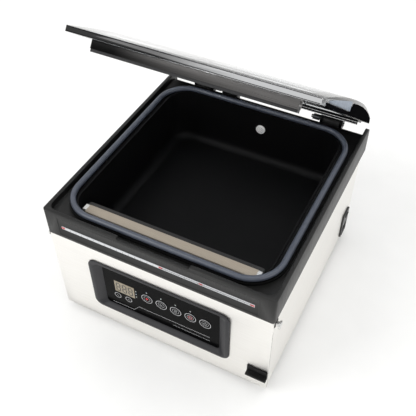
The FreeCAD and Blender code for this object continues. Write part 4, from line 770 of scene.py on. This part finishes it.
for key, sign in SIGNS.items():
    key_low, key_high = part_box(key)
    centre = ((key_low.x + key_high.x) / 2, (key_low.z + key_high.z) / 2)
    radius = (key_high.x - key_low.x) / 2       # of the collar behind the plate, wider than the cap
    rings = ((radius - 0.0006, BOLD),)
    if key not in ("down_button", "up_button"):
        rings = ((radius - 0.0008, BOLD), (radius * 0.54, THIN))
    art = bmesh.new()
    for ring_radius, width in rings:
        stroke(art, arc(ring_radius), width, key_low.y, centre)
    for line in sign:
        stroke(art, line, SIGN, key_low.y, centre)
    settled(art, key + "_print", pale_ink, key + "_cap", "button_plastic")
    if key == "set_button":
        dot_profile = ((0, -DOT_PROUD), (DOT_RADIUS, -DOT_PROUD), (DOT_RADIUS, DOT_PROUD), (0, DOT_PROUD))
        dot = turned(bmesh.new(), dot_profile, 4, (centre[0], key_low.y, centre[1]))
        settled(dot, key + "_red_centre", red_ink, key + "_cap", "button_plastic")
    if key == "seal_button":
        ring = bmesh.new()
        stroke(ring, arc(RED_RING, 0, 360, 24), 0.0006, key_low.y, centre)
        settled(ring, key + "_red_ring", red_ink, key + "_cap", "button_plastic")
lamp_plastic, tree, shader = finish("pale_diffusing_lamp_lens", Roughness=0.3, Subsurface_Weight=0.2)
link(tree, tint(tree, speckle(tree, (1, 1, 1)), "#b4b4b2", "#cfcfcc"), shader, "Base Color")
dress(lamp_plastic, "indicator_leds")


# The front panel's sides: black strips on the side sheets along the tapered flanges' back edges are painted
# shadow of the flanges, dark lines along the folded corners are painted shade, and black rings under the
# bolts are painted shade round their heads.
painted_gap_shade, tree, shader = finish("black_painted_gap_shade", Roughness=0.95)
link(tree, tint(tree, speckle(tree, (0.8, 0.8, 0.8)), "#0b0b0b", "#191919"), shader, "Base Color")
panel_low, panel_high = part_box("front_panel")
side_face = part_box("side_panel_right")[1].x
bolt_low, bolt_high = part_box("door_pivots")
SHADOW_LENGTHS = 12                               # short lengths, butted, down the slanted edge
SHADE_RING_IN, SHADE_RING_OUT, SHADE_RING_THICK = 0.0031, 0.0074, 0.0003
bolt_y, bolt_z = (bolt_low.y + bolt_high.y) / 2, (bolt_low.z + bolt_high.z) / 2
taper_top = Vector((panel_low.y + 0.024, panel_high.z))
taper_foot = Vector((panel_low.y + 0.010, panel_low.z))
for side_name, sign in (("right", 1), ("left", -1)):
    # Painted shadow: a black strip on the side sheet along the flange's back edge.
    strip_mesh = bmesh.new()
    for count in range(SHADOW_LENGTHS):
        ends = [taper_foot.lerp(taper_top, 0.02 + 0.94 * (count + step) / SHADOW_LENGTHS) for step in (0, 1)]
        corners = [(end.x + shift, end.y) for end in ends for shift in (-0.0006, 0.0018)]
        inner = [strip_mesh.verts.new((sign * (side_face - 0.0001), y, z)) for y, z in corners]
        outer = [strip_mesh.verts.new((sign * (side_face + 0.00025), y, z)) for y, z in corners]
        strip_mesh.faces.new([inner[i] for i in (0, 1, 3, 2)])
        strip_mesh.faces.new([outer[i] for i in (2, 3, 1, 0)])
        for i, j in ((0, 1), (1, 3), (3, 2), (2, 0)):
            strip_mesh.faces.new((inner[i], inner[j], outer[j], outer[i]))
    settled(strip_mesh, "flange_painted_shadow_" + side_name, painted_gap_shade, "base", "black_rubber")
    # Painted shade: a dark line along the folded corner where the front face turns into the flange.
    near, far = sorted((sign * (panel_high.x - 0.0002), sign * (panel_high.x + 0.00006)))
    fold_shade = slab(bmesh.new(), (near, panel_low.y + 0.0013, panel_low.z + 0.002),
                (far, panel_low.y + 0.0022, bolt_z - 0.012), FINE)
    settled(fold_shade, "panel_fold_painted_shade_" + side_name, recess_shadow, "service_panel", "panel_paint")
    # Painted shade: a black ring wider than each bolt head stands in for the shade round it.
    start, stop = sign * panel_high.x, sign * (panel_high.x + SHADE_RING_THICK)
    shade_ring_profile = ((SHADE_RING_IN, start), (SHADE_RING_OUT, start), (SHADE_RING_OUT, stop), (SHADE_RING_IN, stop),
                      (SHADE_RING_IN, start))
    shade_ring = turned(bmesh.new(), shade_ring_profile, 40, (0, bolt_y, bolt_z), axis="x")
    settled(shade_ring, "pivot_shade_ring_" + side_name, painted_gap_shade, "service_panel", "black_plastic")


# The pull tab: black glass-filled nylon, moulded with a lip for the fingertips and riveted to the
# front panel's lower right corner.
nylon, tree, shader = finish("black_glass_filled_nylon", Specular_IOR_Level=0.12)
fibre = speckle(tree, (1.5, 0.7, 0.7))
link(tree, tint(tree, fibre, "#0c0c0c", "#181818"), shader, "Base Color")
link(tree, vary(tree, fibre, 0.3, 0.42), shader, "Roughness")
relief(tree, shader, fibre, 0.02, 0.3)
eased("pull_tab", 0.4, nylon, "black_plastic")


# The feet: black nitrile rubber, moulded with a taper and a rounded lower rim, and plugged into the
# pan; the pump's mounts and the hoses are of the same rubber.
nitrile, tree, shader = finish("black_nitrile_rubber", Specular_IOR_Level=0.4)
skin = speckle(tree, (1.2, 1.2, 1.2))
link(tree, tint(tree, skin, "#121212", "#1d1d1c"), shader, "Base Color")
link(tree, vary(tree, skin, 0.6, 0.75), shader, "Roughness")
relief(tree, shader, skin, 0.05, 0.5)
dress(nitrile, "pump_mounts", "vacuum_hoses")
feet_low, feet_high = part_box("feet")
pan_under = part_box("base_pan")[0].z
FOOT = 0.013                                    # a foot's radius at its top
FOOT_PROFILE = ((0, 0), (FOOT - 0.0035, 0), (FOOT - 0.0020, 0.0004), (FOOT - 0.0014, 0.0016),
                (FOOT - 0.0002, pan_under - 0.0012), (FOOT - 0.0007, pan_under), (0, pan_under))
for row, middle in (("front", feet_low.y + FOOT), ("rear", feet_high.y - FOOT)):
    repeated(turned(bmesh.new(), FOOT_PROFILE, 40, axis="z"), "rubber_feet_" + row, (2, 1),
             (feet_high.x - feet_low.x - 2 * FOOT, 0), nitrile,
             Matrix.Translation((feet_low.x + FOOT, middle, 0)), "base", "black_rubber", "feet")


# The mains inlet: a black polycarbonate module with blades in its socket, a fuse drawer below and a
# rocker switch above.
polycarbonate, tree, shader = finish("black_polycarbonate", IOR=1.58)
link(tree, tint(tree, speckle(tree, (5, 5, 5)), "#101011", "#1a1a1b"), shader, "Base Color")
link(tree, vary(tree, speckle(tree, (1, 1, 1)), 0.3, 0.42), shader, "Roughness")
eased("power_inlet", 0.3, polycarbonate, "black_plastic")
dress(polycarbonate, "fuse_drawer")
eased("rocker_switch", 0.4, polycarbonate, "black_plastic")


# The machinery under the chamber: a painted motor and a cast-iron rotary pump on rubber blocks, the
# seal transformer, a brass-bodied valve and two circuit boards.
hammered, tree, shader = finish("grey_hammered_paint", Coat_Weight=0.2)
dimple = speckle(tree, (3, 3, 3))
link(tree, tint(tree, dimple, "#3a3d41", "#50545a"), shader, "Base Color")
link(tree, vary(tree, dimple, 0.3, 0.42), shader, "Roughness")
relief(tree, shader, dimple, 0.15, 0.5)
dress(hammered, "pump_motor")
iron, tree, shader = finish("painted_cast_iron")
sand = speckle(tree, (1.5, 1.5, 1.5))
link(tree, tint(tree, sand, "#4a5158", "#5d656d"), shader, "Base Color")
link(tree, vary(tree, sand, 0.45, 0.6), shader, "Roughness")
relief(tree, shader, sand, 0.15, 0.6)
dress(iron, "vacuum_pump")
laminate, tree, shader = finish("varnished_steel_laminations", Metallic=0.7)
leaves = speckle(tree, (40, 0.7, 40))
link(tree, tint(tree, leaves, "#3c3a37", "#6b6862"), shader, "Base Color")
link(tree, vary(tree, leaves, 0.35, 0.5), shader, "Roughness")
relief(tree, shader, leaves, 0.05, 0.5)
dress(laminate, "transformer")
brass, tree, shader = finish("machined_brass", Metallic=1.0)
link(tree, tint(tree, speckle(tree, (3, 3, 3)), "#a98f4e", "#c4a963"), shader, "Base Color")
link(tree, vary(tree, speckle(tree, (1, 1, 1)), 0.25, 0.38), shader, "Roughness")
dress(brass, "air_valve")
circuit, tree, shader = finish("green_solder_mask", Coat_Weight=0.3)
link(tree, tint(tree, speckle(tree, (2.5, 2.5, 2.5)), "#0f3b22", "#1c5a36"), shader, "Base Color")
link(tree, vary(tree, speckle(tree, (3, 3, 3)), 0.3, 0.45), shader, "Roughness")
dress(circuit, "control_board", "power_board")
